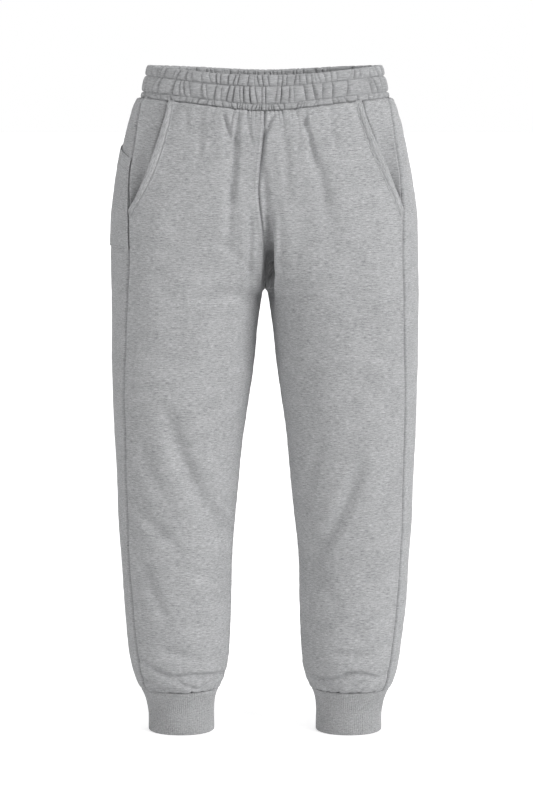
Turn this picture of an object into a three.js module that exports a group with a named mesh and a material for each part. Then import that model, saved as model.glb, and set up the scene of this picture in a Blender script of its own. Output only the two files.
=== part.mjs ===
// Jogger sweatpants in heather-grey fleece, filled out as if worn. Millimetres, +Z up, front towards -Y.
// The origin is the middle of the waist opening, at half the height of the elastic at the sides.
import * as THREE from "three";

// Driving sizes of the garment
const RIM_Z = 24; // top edge of the waistband at the sides
const WAIST_SEAM_Z = -23; // seam under the waistband at the sides
const CROTCH_Z = -298;
const CUFF_SEAM_Z = -892;
const FLOOR_Z = -956; // hem of the cuffs
const FLEECE = 2; // wall of the main cloth
const SEAM_GAP = 0.3; // clearance between two pieces at a seam
const SEWN_ON_GAP = 0.45; // clearance under a piece that lies on a panel

// One half of the garment is a tube round one leg. Above the crotch the middle plane cuts the tube open.
// outer and inner are the tube's sides in x, front and back its reach in y, mid the y of its widest line,
// seam the x of the side seam on the front face, and square the exponent of its superellipse.
const SECTIONS = [
  { z: -23, outer: 180.5, inner: -180.5, front: 103, back: 104, mid: 0, seam: 171, square: 2.15 },
  { z: -28, outer: 184.5, inner: -183, front: 106, back: 108, mid: 0, seam: 175, square: 2.15 },
  { z: -43, outer: 191.5, inner: -179, front: 110, back: 114, mid: 0, seam: 180, square: 2.2 },
  { z: -84, outer: 203, inner: -157, front: 114, back: 126, mid: 1, seam: 186.5, square: 2.25 },
  { z: -141, outer: 214.5, inner: -115, front: 117, back: 138, mid: 2, seam: 196, square: 2.3 },
  { z: -199, outer: 221.5, inner: -73, front: 118, back: 144, mid: 3, seam: 197.5, square: 2.35 },
  { z: -257, outer: 223.3, inner: -30, front: 117, back: 138, mid: 6, seam: 197.5, square: 2.4 },
  { z: -282, outer: 223.5, inner: -11, front: 116, back: 130, mid: 8, seam: 198, square: 2.4 },
  { z: CROTCH_Z, outer: 223.5, inner: 0.15, front: 115, back: 124, mid: 9, seam: 198.5, square: 2.4 },
  { z: -303, outer: 223.5, inner: 3.6, front: 114.5, back: 122, mid: 9, seam: 198.5, square: 2.4 },
  { z: -316, outer: 223.5, inner: 6.6, front: 114, back: 119, mid: 9, seam: 198.7, square: 2.4 },
  { z: -345, outer: 223, inner: 11, front: 112, back: 114, mid: 8, seam: 199.5, square: 2.4 },
  { z: -404, outer: 222.7, inner: 17.7, front: 107, back: 107, mid: 6, seam: 200.8, square: 2.35 },
  { z: -463, outer: 221.7, inner: 25.6, front: 102, back: 100, mid: 4, seam: 202, square: 2.35 },
  { z: -522, outer: 220, inner: 33, front: 97, back: 93, mid: 2, seam: 201.3, square: 2.3 },
  { z: -581, outer: 217.4, inner: 39, front: 92, back: 88, mid: 1, seam: 200.5, square: 2.3 },
  { z: -641, outer: 215, inner: 45, front: 86, back: 86, mid: 2, seam: 199.3, square: 2.25 },
  { z: -700, outer: 211.5, inner: 49.3, front: 79, back: 87, mid: 5, seam: 197, square: 2.25 },
  { z: -760, outer: 208.3, inner: 51.3, front: 71, back: 87, mid: 8, seam: 193, square: 2.2 },
  { z: -821, outer: 203.5, inner: 53, front: 63, back: 86, mid: 11, seam: 187.5, square: 2.2 },
  { z: -851, outer: 199, inner: 55.5, front: 59, back: 84, mid: 12, seam: 183.5, square: 2.2 },
  { z: -875, outer: 193, inner: 61, front: 54, back: 79, mid: 13, seam: 178.5, square: 2.15 },
  { z: -887, outer: 188, inner: 66.5, front: 47, back: 72, mid: 13, seam: 174, square: 2.15 },
  { z: CUFF_SEAM_Z, outer: 182, inner: 71, front: 42, back: 67, mid: 13, seam: 169, square: 2.1 },
  { z: -900, outer: 178.5, inner: 73, front: 38.5, back: 63, mid: 12.5, seam: 166, square: 2.1 },
  { z: -914, outer: 174.5, inner: 75.3, front: 34.5, back: 59, mid: 12.5, seam: 163, square: 2.1 },
  { z: -932, outer: 172.3, inner: 76.5, front: 33, back: 58, mid: 12.5, seam: 161, square: 2.1 },
  { z: FLOOR_Z, outer: 172.4, inner: 76, front: 33, back: 58, mid: 12.5, seam: 161, square: 2.1 },
];

// Rows of the panels' grid from the waist seam to the cuff seam, closer where the form turns fast.
const STRETCHES = [
  { to: -28, rows: 1 },
  { to: -60, rows: 2 },
  { to: -170, rows: 4 },
  { to: -226, rows: 2 },
  { to: -282, rows: 4 },
  { to: CROTCH_Z, rows: 3 },
  { to: -316, rows: 3 },
  { to: -404, rows: 3 },
  { to: -760, rows: 8 },
  { to: -840, rows: 3 },
  { to: -880, rows: 4 },
  { to: CUFF_SEAM_Z, rows: 2 },
];

// The largest folds, each a soft trough on the front or back from one x, z to another.
// x < 0 is the wearer's right.
const FOLDS = [
  { face: "front", x0: -62, z0: -38, x1: -48, z1: -68, width: 9, depth: 5 },
  { face: "front", x0: -37, z0: -62, x1: -44, z1: -165, width: 12, depth: 7 },
  { face: "front", x0: 9, z0: -50, x1: 5, z1: -225, width: 11, depth: 5 },
  { face: "front", x0: 54, z0: -40, x1: 62, z1: -80, width: 9, depth: 6 },
  { face: "front", x0: 62, z0: -78, x1: 84, z1: -165, width: 14, depth: 7 },
  { face: "front", x0: -133, z0: -463, x1: -81, z1: -616, width: 19, depth: 7 },
  { face: "front", x0: -168, z0: -600, x1: -140, z1: -655, width: 14, depth: 3 },
  { face: "front", x0: 127, z0: -540, x1: 84, z1: -662, width: 18, depth: 7 },
  { face: "front", x0: 70, z0: -545, x1: 50, z1: -610, width: 13, depth: 3 },
  { face: "front", x0: -166, z0: -843, x1: -122, z1: -874, width: 8, depth: 5 },
  { face: "front", x0: -122, z0: -858, x1: -66, z1: -850, width: 8, depth: 4 },
  { face: "front", x0: 82, z0: -863, x1: 130, z1: -855, width: 8, depth: 5 },
  { face: "front", x0: 126, z0: -855, x1: 162, z1: -861, width: 8, depth: 4 },
  { face: "back", x0: -70, z0: -45, x1: -58, z1: -120, width: 11, depth: 5 },
  { face: "back", x0: 48, z0: -45, x1: 44, z1: -110, width: 11, depth: 5 },
  { face: "back", x0: 110, z0: -42, x1: 118, z1: -95, width: 10, depth: 4 },
  { face: "back", x0: -40, z0: -262, x1: -150, z1: -318, width: 18, depth: 5 },
  { face: "back", x0: 40, z0: -268, x1: 145, z1: -330, width: 18, depth: 5 },
  { face: "back", x0: -60, z0: -470, x1: -180, z1: -520, width: 18, depth: 6 },
  { face: "back", x0: 62, z0: -500, x1: 178, z1: -470, width: 18, depth: 6 },
  { face: "back", x0: -75, z0: -560, x1: -165, z1: -590, width: 16, depth: 5 },
  { face: "back", x0: 75, z0: -585, x1: 170, z1: -550, width: 16, depth: 5 },
  { face: "back", x0: -165, z0: -850, x1: -90, z1: -868, width: 9, depth: 5 },
  { face: "back", x0: 85, z0: -852, x1: 165, z1: -866, width: 9, depth: 5 },
];

const FOLD_TAPER = 1.5; // how far a fold runs out past its ends, in widths
const FOLD_STARTS = { belowWaist: 12, aboveCuff: 8 }; // heights over which the folds set in

// How far the middle of front and back hangs below the sides, at the rim and at the waist seam.
// frontShoulder is how much sooner the front of the rim drops away from the sides.
const DIP = { frontRim: 13, backRim: 7, frontSeam: 17, backSeam: 10, levelsOutAt: -165, frontShoulder: 12 };

// Waistband: a gathered casing with two rows of stitching that pinch it into three tiers.
const BAND = {
  rim: { outer: 170, front: 99, back: 99 },
  seam: { outer: 180, front: 102.5, back: 103.5 },
  wall: 5,
  facing: 1, // the inside ends this much below the rim
  gathers: 62,
  depth: 3.2,
  shallowest: 0.1, // share of that depth
};
const GATHER_TURN = 2.4; // radians between two gathers in the wave that makes their depths uneven
const TIER_TURN = 1.7; // the same from tier to tier
const SPACING_WAVES = [
  { waves: 6, size: 0.0042, turn: 0 },
  { waves: 17, size: 0.0035, turn: 1.3 },
];
// puff is how far a ring stands out, gather the share of the gathers' depth, shift the tier it belongs to.
const BAND_RINGS = [
  { z: RIM_Z, puff: -1.6, gather: 0.35, shift: 0 },
  { z: 21, puff: 0.9, gather: 1, shift: 0 },
  { z: 12.5, puff: 1.2, gather: 1, shift: 0 },
  { z: 9, puff: -1.6, gather: 0.2, shift: 1 },
  { z: 5, puff: 1.3, gather: 1, shift: 1 },
  { z: -10, puff: 1.5, gather: 1, shift: 1 },
  { z: -14, puff: -1.4, gather: 0.2, shift: 2 },
  { z: -18.5, puff: 0.5, gather: 0.8, shift: 2 },
  { z: WAIST_SEAM_Z + SEAM_GAP / 2, puff: -1, gather: 0.25, shift: 2 },
];

// Ribbed cuffs, a doubled rib knit with its fold at the hem
const CUFF = { wall: 3, ribs: 48, ribDepth: 0.9, rounding: 1.6 };
const CUFF_TOP = CUFF_SEAM_Z - SEAM_GAP / 2;
const CUFF_RINGS = [
  { z: CUFF_TOP, inset: 0, ribbed: 0.3 },
  { z: -902, inset: 0, ribbed: 1 },
  { z: -920, inset: 0, ribbed: 1 },
  { z: FLOOR_Z + CUFF.rounding, inset: 0, ribbed: 1 },
  { z: FLOOR_Z, inset: CUFF.rounding, ribbed: 0 },
  { z: FLOOR_Z, inset: CUFF.wall, ribbed: 0 },
  { z: -914, inset: CUFF.wall, ribbed: 0 },
  { z: CUFF_TOP, inset: CUFF.wall, ribbed: 0 },
];

// Slanted side pocket: its opening runs from the waist seam to the side seam.
const POCKET = { topX: 136, top: WAIST_SEAM_Z, bottom: -178, bow: 1.2 };
const POCKET_BAND = { width: 9.5, wall: 1.2, tail: 12, leastWidth: 1.5 };
const FACING = {
  wall: 1.8,
  sunk: 2.4,
  sinksOver: 0.8, // share of its width from the side seam to where it lies fully sunk
  underlap: 14,
  narrow: 14, // where the opening is narrower than this the facing leaves the side seam too
  leastWidth: 3,
  tail: 14,
};

// Patch pocket on the wearer's right of the back, caught in the side seam. Its opening rises to the back.
const BACK_POCKET = {
  width: 142,
  wall: 1.6,
  openingAtSeam: -104.5,
  openingRise: 26,
  riseReach: 38,
  bottom: -236,
  cornerRadius: 22,
  cornerSquash: 0.7,
};

const PANEL_COLUMNS = 12;
const MIDDLE_GIVE = { share: 0.75, most: 6 }; // how late the columns give way to the middle plane
const MIDDLE_MITRE = { from: 0.2, over: 0.3 }; // how squarely a wall faces front or back to be mitred
const INSEAM_SHIFT = 0.2; // radians that the inseam lies in front of the innermost line
const INSEAM_SHIFT_REACH = 240; // height below the crotch over which it gets there

const clamp = (v, low, high) => Math.min(high, Math.max(low, v));
const lerp = (a, b, t) => a + (b - a) * t;
function smoothstep(t) {
  const s = clamp(t, 0, 1);
  return s * s * (3 - 2 * s);
}

// Slope of one column of the table at row i that keeps the curve between its rows (monotone cubic).
function slopeAt(i, key) {
  const rise = (j) => (SECTIONS[j + 1][key] - SECTIONS[j][key]) / (SECTIONS[j + 1].z - SECTIONS[j].z);
  if (i === 0) return rise(0);
  if (i === SECTIONS.length - 1) return rise(i - 1);
  const before = rise(i - 1);
  const after = rise(i);
  return before * after <= 0 ? 0 : (2 * before * after) / (before + after);
}

function column(level, key) {
  const last = SECTIONS.length - 2;
  let i = SECTIONS.findIndex((row, j) => j > 0 && level >= row.z) - 1;
  if (i < 0) i = level > SECTIONS[0].z ? 0 : last;
  const a = SECTIONS[i];
  const b = SECTIONS[i + 1];
  const span = b.z - a.z;
  const t = (level - a.z) / span;
  const t2 = t * t;
  const t3 = t2 * t;
  return (
    (2 * t3 - 3 * t2 + 1) * a[key] +
    (t3 - 2 * t2 + t) * span * slopeAt(i, key) +
    (3 * t2 - 2 * t3) * b[key] +
    (t3 - t2) * span * slopeAt(i + 1, key)
  );
}

function sectionAt(level) {
  const outer = column(level, "outer");
  const inner = column(level, "inner");
  const mid = column(level, "mid");
  return {
    centre: (outer + inner) / 2,
    half: (outer - inner) / 2,
    mid,
    frontDepth: column(level, "front") + mid,
    backDepth: column(level, "back") - mid,
    square: column(level, "square"),
  };
}

// How far a point at this angle hangs below its level. The angle is 0 at the side, a right angle in front.
function dip(level, angle) {
  const t = clamp((RIM_Z - level) / (RIM_Z - WAIST_SEAM_Z), 0, 1);
  const fade = smoothstep((level - DIP.levelsOutAt) / (WAIST_SEAM_Z - DIP.levelsOutAt));
  const front = Math.sin(angle) > 0;
  const shoulder = DIP.frontShoulder * (1 - t) * Math.cos(angle) ** 2;
  const depth = front ? lerp(DIP.frontRim, DIP.frontSeam, t) + shoulder : lerp(DIP.backRim, DIP.backSeam, t);
  return depth * fade * Math.sin(angle) ** 2;
}

const TURN = 0.01; // small angle for slopes

// Distance from a section's centre to its superellipse
function reach(section, angle) {
  const depth = Math.sin(angle) > 0 ? section.frontDepth : section.backDepth;
  const n = section.square;
  const sum = Math.abs(Math.cos(angle) / section.half) ** n + Math.abs(Math.sin(angle) / depth) ** n;
  return sum ** (-1 / n);
}

// A point of the smooth form of the wearer's left half
function formPoint(angle, level) {
  const s = sectionAt(level);
  const r = reach(s, angle);
  return new THREE.Vector3(
    s.centre + r * Math.cos(angle),
    s.mid - r * Math.sin(angle),
    level - dip(level, angle),
  );
}

function formNormal(angle, level) {
  const step = 1;
  const around = formPoint(angle + TURN, level).sub(formPoint(angle - TURN, level));
  const up = formPoint(angle, level + step).sub(formPoint(angle, level - step));
  return up.cross(around).normalize();
}

// Depth of all folds at a point of the half on the given side (+1 is the wearer's left)
function foldDepth(side, point) {
  const face = point.y < 0 ? "front" : "back";
  const x = side * point.x;
  let total = 0;
  for (const fold of FOLDS) {
    if (fold.face !== face) continue;
    const dx = fold.x1 - fold.x0;
    const dz = fold.z1 - fold.z0;
    const length = Math.hypot(dx, dz);
    const along = ((x - fold.x0) * dx + (point.z - fold.z0) * dz) / length;
    const across = ((x - fold.x0) * dz - (point.z - fold.z0) * dx) / length;
    const past = Math.max(0, -along, along - length) / FOLD_TAPER;
    total += fold.depth * Math.exp(-(across ** 2 + past ** 2) / fold.width ** 2);
  }
  return total;
}

// A point of the cloth's outer face, moved out by lift along the form's normal
function clothPoint(side, angle, level, lift) {
  const point = formPoint(angle, level);
  const normal = formNormal(angle, level);
  const below = smoothstep((WAIST_SEAM_Z - level) / FOLD_STARTS.belowWaist);
  const above = smoothstep((level - CUFF_SEAM_Z) / FOLD_STARTS.aboveCuff);
  return point.addScaledVector(normal, lift - foldDepth(side, point) * below * above);
}

// Angle at which the section's front half reaches a given x
function frontAngleAtX(level, x) {
  const s = sectionAt(level);
  const dx = x - s.centre;
  const share = clamp(Math.abs(dx) / s.half, 0, 1);
  return Math.atan2(s.frontDepth * (1 - share ** s.square) ** (1 / s.square), dx);
}

function seamAngle(level) {
  return frontAngleAtX(level, column(level, "seam"));
}

// Where the middle plane cuts the section on the front or back, or the inseam below the crotch
function middleAngle(level, face) {
  const s = sectionAt(level);
  if (level <= CROTCH_Z) {
    const shift = INSEAM_SHIFT * smoothstep((CROTCH_Z - level) / INSEAM_SHIFT_REACH);
    const gap = SEAM_GAP / 2 / s.half;
    return face === "front" ? Math.PI - shift - gap : -Math.PI - shift + gap;
  }
  const dx = SEAM_GAP / 2 - s.centre;
  const share = clamp(-dx / s.half, 0, 1);
  const depth = face === "front" ? s.frontDepth : s.backDepth;
  const y = depth * (1 - share ** s.square) ** (1 / s.square);
  return (face === "front" ? 1 : -1) * Math.atan2(y, dx);
}

// Length of the section's outline for each radian at an angle
function arcRate(section, angle) {
  const slope = (reach(section, angle + TURN) - reach(section, angle - TURN)) / TURN / 2;
  return Math.hypot(reach(section, angle), slope);
}

// The angle that lies an arc length away from another, found in short steps
function angleAlong(level, start, distance) {
  const section = sectionAt(level);
  const steps = 16;
  let angle = start;
  for (let i = 0; i < steps; i++) angle += distance / steps / arcRate(section, angle);
  return angle;
}

function arcBetween(level, from, to) {
  const section = sectionAt(level);
  const steps = 12;
  const step = Math.abs(to - from) / steps;
  let length = 0;
  for (let i = 0; i < steps; i++) length += step * arcRate(section, lerp(from, to, (i + 0.5) / steps));
  return length;
}

function openingAngle(level) {
  const t = clamp((POCKET.top - level) / (POCKET.top - POCKET.bottom), 0, 1);
  const endX = column(POCKET.bottom, "seam");
  return frontAngleAtX(level, lerp(POCKET.topX, endX, t ** POCKET.bow));
}

function panelLevels() {
  const levels = [WAIST_SEAM_Z - SEAM_GAP / 2];
  let from = WAIST_SEAM_Z;
  for (const { to, rows } of STRETCHES) {
    for (let i = 1; i <= rows; i++) levels.push(lerp(from, to, i / rows));
    from = to;
  }
  levels[levels.length - 1] = CUFF_SEAM_Z + SEAM_GAP / 2;
  return levels;
}

// A closed geometry from points and triangles, turned to face outwards
function closedGeometry(points, triangles) {
  const volume = triangles.reduce((sum, [a, b, c]) => {
    const cross = new THREE.Vector3().crossVectors(points[b], points[c]);
    return sum + points[a].dot(cross);
  }, 0);
  const index = volume < 0 ? triangles.map(([a, b, c]) => [a, c, b]) : triangles;
  const geometry = new THREE.BufferGeometry().setFromPoints(points);
  geometry.setIndex(index.flat());
  geometry.computeVertexNormals();
  return geometry;
}

// A sheet with a wall: pointAt(row, col, layer) gives its outer (0) and inner (1) points.
function wallGeometry(rows, cols, pointAt) {
  const points = [];
  const id = (row, col, layer) => (layer * rows + row) * cols + col;
  for (const layer of [0, 1])
    for (let row = 0; row < rows; row++)
      for (let col = 0; col < cols; col++) points.push(pointAt(row, col, layer));
  const triangles = [];
  const quad = (a, b, c, d) => {
    const split = points[a].distanceTo(points[c]) < points[b].distanceTo(points[d]);
    if (split) triangles.push([a, b, c], [a, c, d]);
    else triangles.push([a, b, d], [b, c, d]);
  };
  for (let row = 0; row + 1 < rows; row++)
    for (let col = 0; col + 1 < cols; col++) {
      quad(id(row, col, 0), id(row + 1, col, 0), id(row + 1, col + 1, 0), id(row, col + 1, 0));
      quad(id(row, col, 1), id(row, col + 1, 1), id(row + 1, col + 1, 1), id(row + 1, col, 1));
    }
  for (let row = 0; row + 1 < rows; row++) {
    quad(id(row, 0, 0), id(row, 0, 1), id(row + 1, 0, 1), id(row + 1, 0, 0));
    quad(id(row, cols - 1, 0), id(row + 1, cols - 1, 0), id(row + 1, cols - 1, 1), id(row, cols - 1, 1));
  }
  for (let col = 0; col + 1 < cols; col++) {
    quad(id(0, col, 0), id(0, col + 1, 0), id(0, col + 1, 1), id(0, col, 1));
    quad(id(rows - 1, col, 0), id(rows - 1, col, 1), id(rows - 1, col + 1, 1), id(rows - 1, col + 1, 0));
  }
  return closedGeometry(points, triangles);
}

// A closed ring: pointAt(col, k) gives point k of the wall's outline at each column round the ring.
function ringGeometry(cols, loop, pointAt) {
  const points = [];
  for (let col = 0; col < cols; col++) for (let k = 0; k < loop; k++) points.push(pointAt(col, k));
  const id = (col, k) => (col % cols) * loop + (k % loop);
  const triangles = [];
  for (let col = 0; col < cols; col++)
    for (let k = 0; k < loop; k++) {
      triangles.push([id(col, k), id(col + 1, k), id(col + 1, k + 1)]);
      triangles.push([id(col, k), id(col + 1, k + 1), id(col, k + 1)]);
    }
  return closedGeometry(points, triangles);
}

function onSide(side, point) {
  point.x *= side;
  return point;
}

const fleece = () => new THREE.MeshStandardMaterial({ color: 0xa7a8aa, roughness: 0.95, metalness: 0 });
const rib = () => new THREE.MeshStandardMaterial({ color: 0x9c9d9f, roughness: 0.95, metalness: 0 });

const joggers = new THREE.Group();
function addPiece(name, geometry, material) {
  const mesh = new THREE.Mesh(geometry, material);
  mesh.name = name;
  joggers.add(mesh);
}

// Angle of a column of a panel. Above the crotch only the last columns give way to the middle plane.
function panelAngle(level, start, end, share) {
  const whole = level > CROTCH_Z ? Math.sign(end) * Math.PI : end;
  const cutOff = whole - end;
  if (share === 1) return end;
  const power = clamp((MIDDLE_GIVE.share * (whole - start)) / cutOff, 1, MIDDLE_GIVE.most);
  return start + (whole - start) * share - cutOff * share ** power;
}

function panelPoint(side, level, angle, end, layer) {
  const point = clothPoint(side, angle, level, -FLEECE * layer);
  if (angle === end && level > CROTCH_Z) {
    const squarely = Math.abs(formNormal(angle, level).y);
    const mitre = smoothstep((squarely - MIDDLE_MITRE.from) / MIDDLE_MITRE.over);
    point.x = lerp(point.x, SEAM_GAP / 2, mitre);
  }
  point.x = Math.max(point.x, SEAM_GAP / 2);
  return onSide(side, point);
}

// The front's first column follows the pocket opening; its second lies over the end of the facing.
function makeFront(side, name) {
  const rows = panelLevels().map((level) => {
    const seam = seamAngle(level) + SEAM_GAP / 2 / sectionAt(level).half;
    const start = Math.max(openingAngle(level), seam);
    const next = angleAlong(level, start, FACING.underlap);
    return { level, start, next, end: middleAngle(level, "front") };
  });
  const pointAt = (row, col, layer) => {
    const { level, start, next, end } = rows[row];
    const share = (col - 1) / (PANEL_COLUMNS - 1);
    const angle = col === 0 ? start : panelAngle(level, next, end, share);
    return panelPoint(side, level, angle, end, layer);
  };
  addPiece(name, wallGeometry(rows.length, PANEL_COLUMNS + 1, pointAt), fleece());
}

function makeBack(side, name) {
  const rows = panelLevels().map((level) => {
    const start = seamAngle(level) - SEAM_GAP / 2 / sectionAt(level).half;
    return { level, start, end: middleAngle(level, "back") };
  });
  const pointAt = (row, col, layer) => {
    const { level, start, end } = rows[row];
    const angle = panelAngle(level, start, end, col / PANEL_COLUMNS);
    return panelPoint(side, level, angle, end, layer);
  };
  addPiece(name, wallGeometry(rows.length, PANEL_COLUMNS + 1, pointAt), fleece());
}

// The piece of the pocket bag that shows behind the opening, from the side seam to under the front
function makeFacing(side, name) {
  const levels = panelLevels().filter((level) => level > POCKET.bottom);
  levels.push(POCKET.bottom, POCKET.bottom - FACING.tail);
  const cols = 5;
  const pointAt = (row, col, layer) => {
    const level = levels[row];
    const seam = seamAngle(level);
    const shown = Math.max(arcBetween(level, seam, openingAngle(level)), FACING.leastWidth);
    const distance = col === cols - 1 ? shown + FACING.underlap : lerp(SEAM_GAP / 2, shown, col / (cols - 2));
    const closing = (2 * (FACING.narrow - shown)) / FACING.narrow;
    const sunk = FACING.sunk * smoothstep(Math.max(distance / shown / FACING.sinksOver, closing));
    const angle = angleAlong(level, seam, distance);
    return onSide(side, clothPoint(side, angle, level, -sunk - FACING.wall * layer));
  };
  addPiece(name, wallGeometry(levels.length, cols, pointAt), fleece());
}

// The folded and stitched edge of the pocket opening, lying on the front
function makePocketBand(side, name) {
  const end = POCKET.bottom - POCKET_BAND.tail;
  const levels = panelLevels().filter((level) => level > POCKET.bottom);
  levels.push(POCKET.bottom, end);
  const cols = 3;
  const pointAt = (row, col, layer) => {
    const level = levels[row];
    const edge = Math.max(openingAngle(level), seamAngle(level) + SEAM_GAP / sectionAt(level).half);
    const tail = clamp((level - end) / POCKET_BAND.tail, 0, 1);
    const width = lerp(POCKET_BAND.leastWidth, POCKET_BAND.width, tail);
    const angle = angleAlong(level, edge, (width * col) / (cols - 1));
    const lift = SEWN_ON_GAP + POCKET_BAND.wall * (1 - layer);
    return onSide(side, clothPoint(side, angle, level, lift));
  };
  addPiece(name, wallGeometry(levels.length, cols, pointAt), fleece());
}

function makeBackPocket(side, name) {
  const rows = 11;
  const cols = 13;
  const pointAt = (row, col, layer) => {
    const distance = (BACK_POCKET.width * col) / (cols - 1);
    const top =
      BACK_POCKET.openingAtSeam +
      BACK_POCKET.openingRise * (1 - Math.exp(-distance / BACK_POCKET.riseReach));
    const fromCorner = Math.max(0, distance - BACK_POCKET.width + BACK_POCKET.cornerRadius);
    const round = BACK_POCKET.cornerRadius - Math.sqrt(BACK_POCKET.cornerRadius ** 2 - fromCorner ** 2);
    const bottom = BACK_POCKET.bottom + round * BACK_POCKET.cornerSquash;
    const level = lerp(top, bottom, row / (rows - 1));
    const angle = angleAlong(level, seamAngle(level), -SEAM_GAP - distance);
    const lift = SEWN_ON_GAP + BACK_POCKET.wall * (1 - layer);
    return onSide(side, clothPoint(side, angle, level, lift));
  };
  addPiece(name, wallGeometry(rows, cols, pointAt), fleece());
}

// Angles round the waistband, three to a gather, with the gathers uneven in width as elastic draws them
function bandAngles() {
  const count = BAND.gathers * 3;
  const angles = [];
  for (let i = 0; i < count; i++) {
    let share = i / count;
    for (const { waves, size, turn } of SPACING_WAVES) {
      share += size * Math.sin((waves * Math.PI * 2 * i) / count + turn);
    }
    angles.push(share * Math.PI * 2);
  }
  return angles;
}

function bandPoint(angle, z, lift) {
  const t = (RIM_Z - z) / (RIM_Z - WAIST_SEAM_Z);
  const section = {
    half: lerp(BAND.rim.outer, BAND.seam.outer, t),
    frontDepth: lerp(BAND.rim.front, BAND.seam.front, t),
    backDepth: lerp(BAND.rim.back, BAND.seam.back, t),
    square: SECTIONS[0].square,
  };
  const r = reach(section, angle) + lift;
  return new THREE.Vector3(r * Math.cos(angle), -r * Math.sin(angle), z - dip(z, angle));
}

function makeWaistband() {
  const angles = bandAngles();
  const innerRings = [WAIST_SEAM_Z + SEAM_GAP / 2, RIM_Z - BAND.facing];
  const loop = BAND_RINGS.length + innerRings.length;
  const pointAt = (col, k) => {
    if (k >= BAND_RINGS.length) {
      return bandPoint(angles[col], innerRings[k - BAND_RINGS.length], -BAND.wall);
    }
    const ring = BAND_RINGS[k];
    const place = (col + ring.shift) % 3;
    const gather = Math.floor((col + ring.shift) / 3);
    const wave = (1 + Math.sin(gather * GATHER_TURN + ring.shift * TIER_TURN)) / 2;
    const fall = place === 0 ? BAND.depth * ring.gather * lerp(BAND.shallowest, 1, wave) : 0;
    return bandPoint(angles[col], ring.z, ring.puff - fall);
  };
  addPiece("waistband", ringGeometry(angles.length, loop, pointAt), fleece());
}

function makeCuff(side, name) {
  const cols = CUFF.ribs * 2;
  const pointAt = (col, k) => {
    const { z, inset, ribbed } = CUFF_RINGS[k];
    const angle = (col / cols) * Math.PI * 2 - Math.PI;
    const valley = col % 2 ? CUFF.ribDepth * ribbed : 0;
    const outward = new THREE.Vector3(Math.cos(angle), -Math.sin(angle), 0);
    return onSide(side, formPoint(angle, z).addScaledVector(outward, -inset - valley));
  };
  addPiece(name, ringGeometry(cols, CUFF_RINGS.length, pointAt), rib());
}

makeWaistband();
for (const [side, word] of [
  [1, "left"],
  [-1, "right"],
]) {
  makeFront(side, `front_${word}`);
  makeBack(side, `back_${word}`);
  makeFacing(side, `pocket_facing_${word}`);
  makePocketBand(side, `pocket_band_${word}`);
  makeCuff(side, `cuff_${word}`);
}
makeBackPocket(-1, "back_pocket");

export default joggers;
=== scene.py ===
"""Jogger sweatpants in heather-grey fleece, filled out as if worn.

Metres, +Z up, front towards -Y, +X towards the wearer's left.
The origin is the middle of the waist opening.
"""

import math

import bmesh
import bpy
import numpy as np
from mathutils import Matrix, Vector


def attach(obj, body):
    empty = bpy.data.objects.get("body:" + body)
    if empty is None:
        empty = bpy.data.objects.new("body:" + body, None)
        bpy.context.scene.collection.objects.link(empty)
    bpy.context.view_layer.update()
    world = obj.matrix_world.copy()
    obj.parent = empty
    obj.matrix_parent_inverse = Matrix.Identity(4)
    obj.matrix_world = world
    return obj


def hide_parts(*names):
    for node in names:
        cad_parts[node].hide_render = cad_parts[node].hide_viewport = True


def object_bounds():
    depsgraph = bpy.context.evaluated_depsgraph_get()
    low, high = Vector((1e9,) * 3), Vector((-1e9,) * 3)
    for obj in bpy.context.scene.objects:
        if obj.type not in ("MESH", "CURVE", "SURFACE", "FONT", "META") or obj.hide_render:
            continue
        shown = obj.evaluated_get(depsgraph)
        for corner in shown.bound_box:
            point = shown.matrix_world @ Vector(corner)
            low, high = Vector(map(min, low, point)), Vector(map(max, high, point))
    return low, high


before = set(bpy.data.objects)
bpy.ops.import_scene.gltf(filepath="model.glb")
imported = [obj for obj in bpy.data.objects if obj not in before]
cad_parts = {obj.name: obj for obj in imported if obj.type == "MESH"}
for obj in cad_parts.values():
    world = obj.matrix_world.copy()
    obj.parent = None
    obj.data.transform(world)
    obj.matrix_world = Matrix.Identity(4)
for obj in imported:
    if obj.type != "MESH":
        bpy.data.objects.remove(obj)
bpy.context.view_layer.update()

bl_info = {
    "name": "Jogger sweatpants",
    "version": (1, 0, 0),
    "blender": (4, 5, 0),
    "location": "View3D > Sidebar > Joggers",
    "description": "Builds heather-grey fleece jogger sweatpants around their construction model",
    "category": "Add Mesh",
}

MM = 0.001

# Heights of the garment
RIM_Z = 0.024
WAIST_SEAM_Z = -0.023
CROTCH_Z = -0.298
CUFF_SEAM_Z = -0.892
FLOOR_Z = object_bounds()[0][2]

SIDES = ((1, "left"), (-1, "right"))
FRONT, BACK = -1, 1

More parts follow.
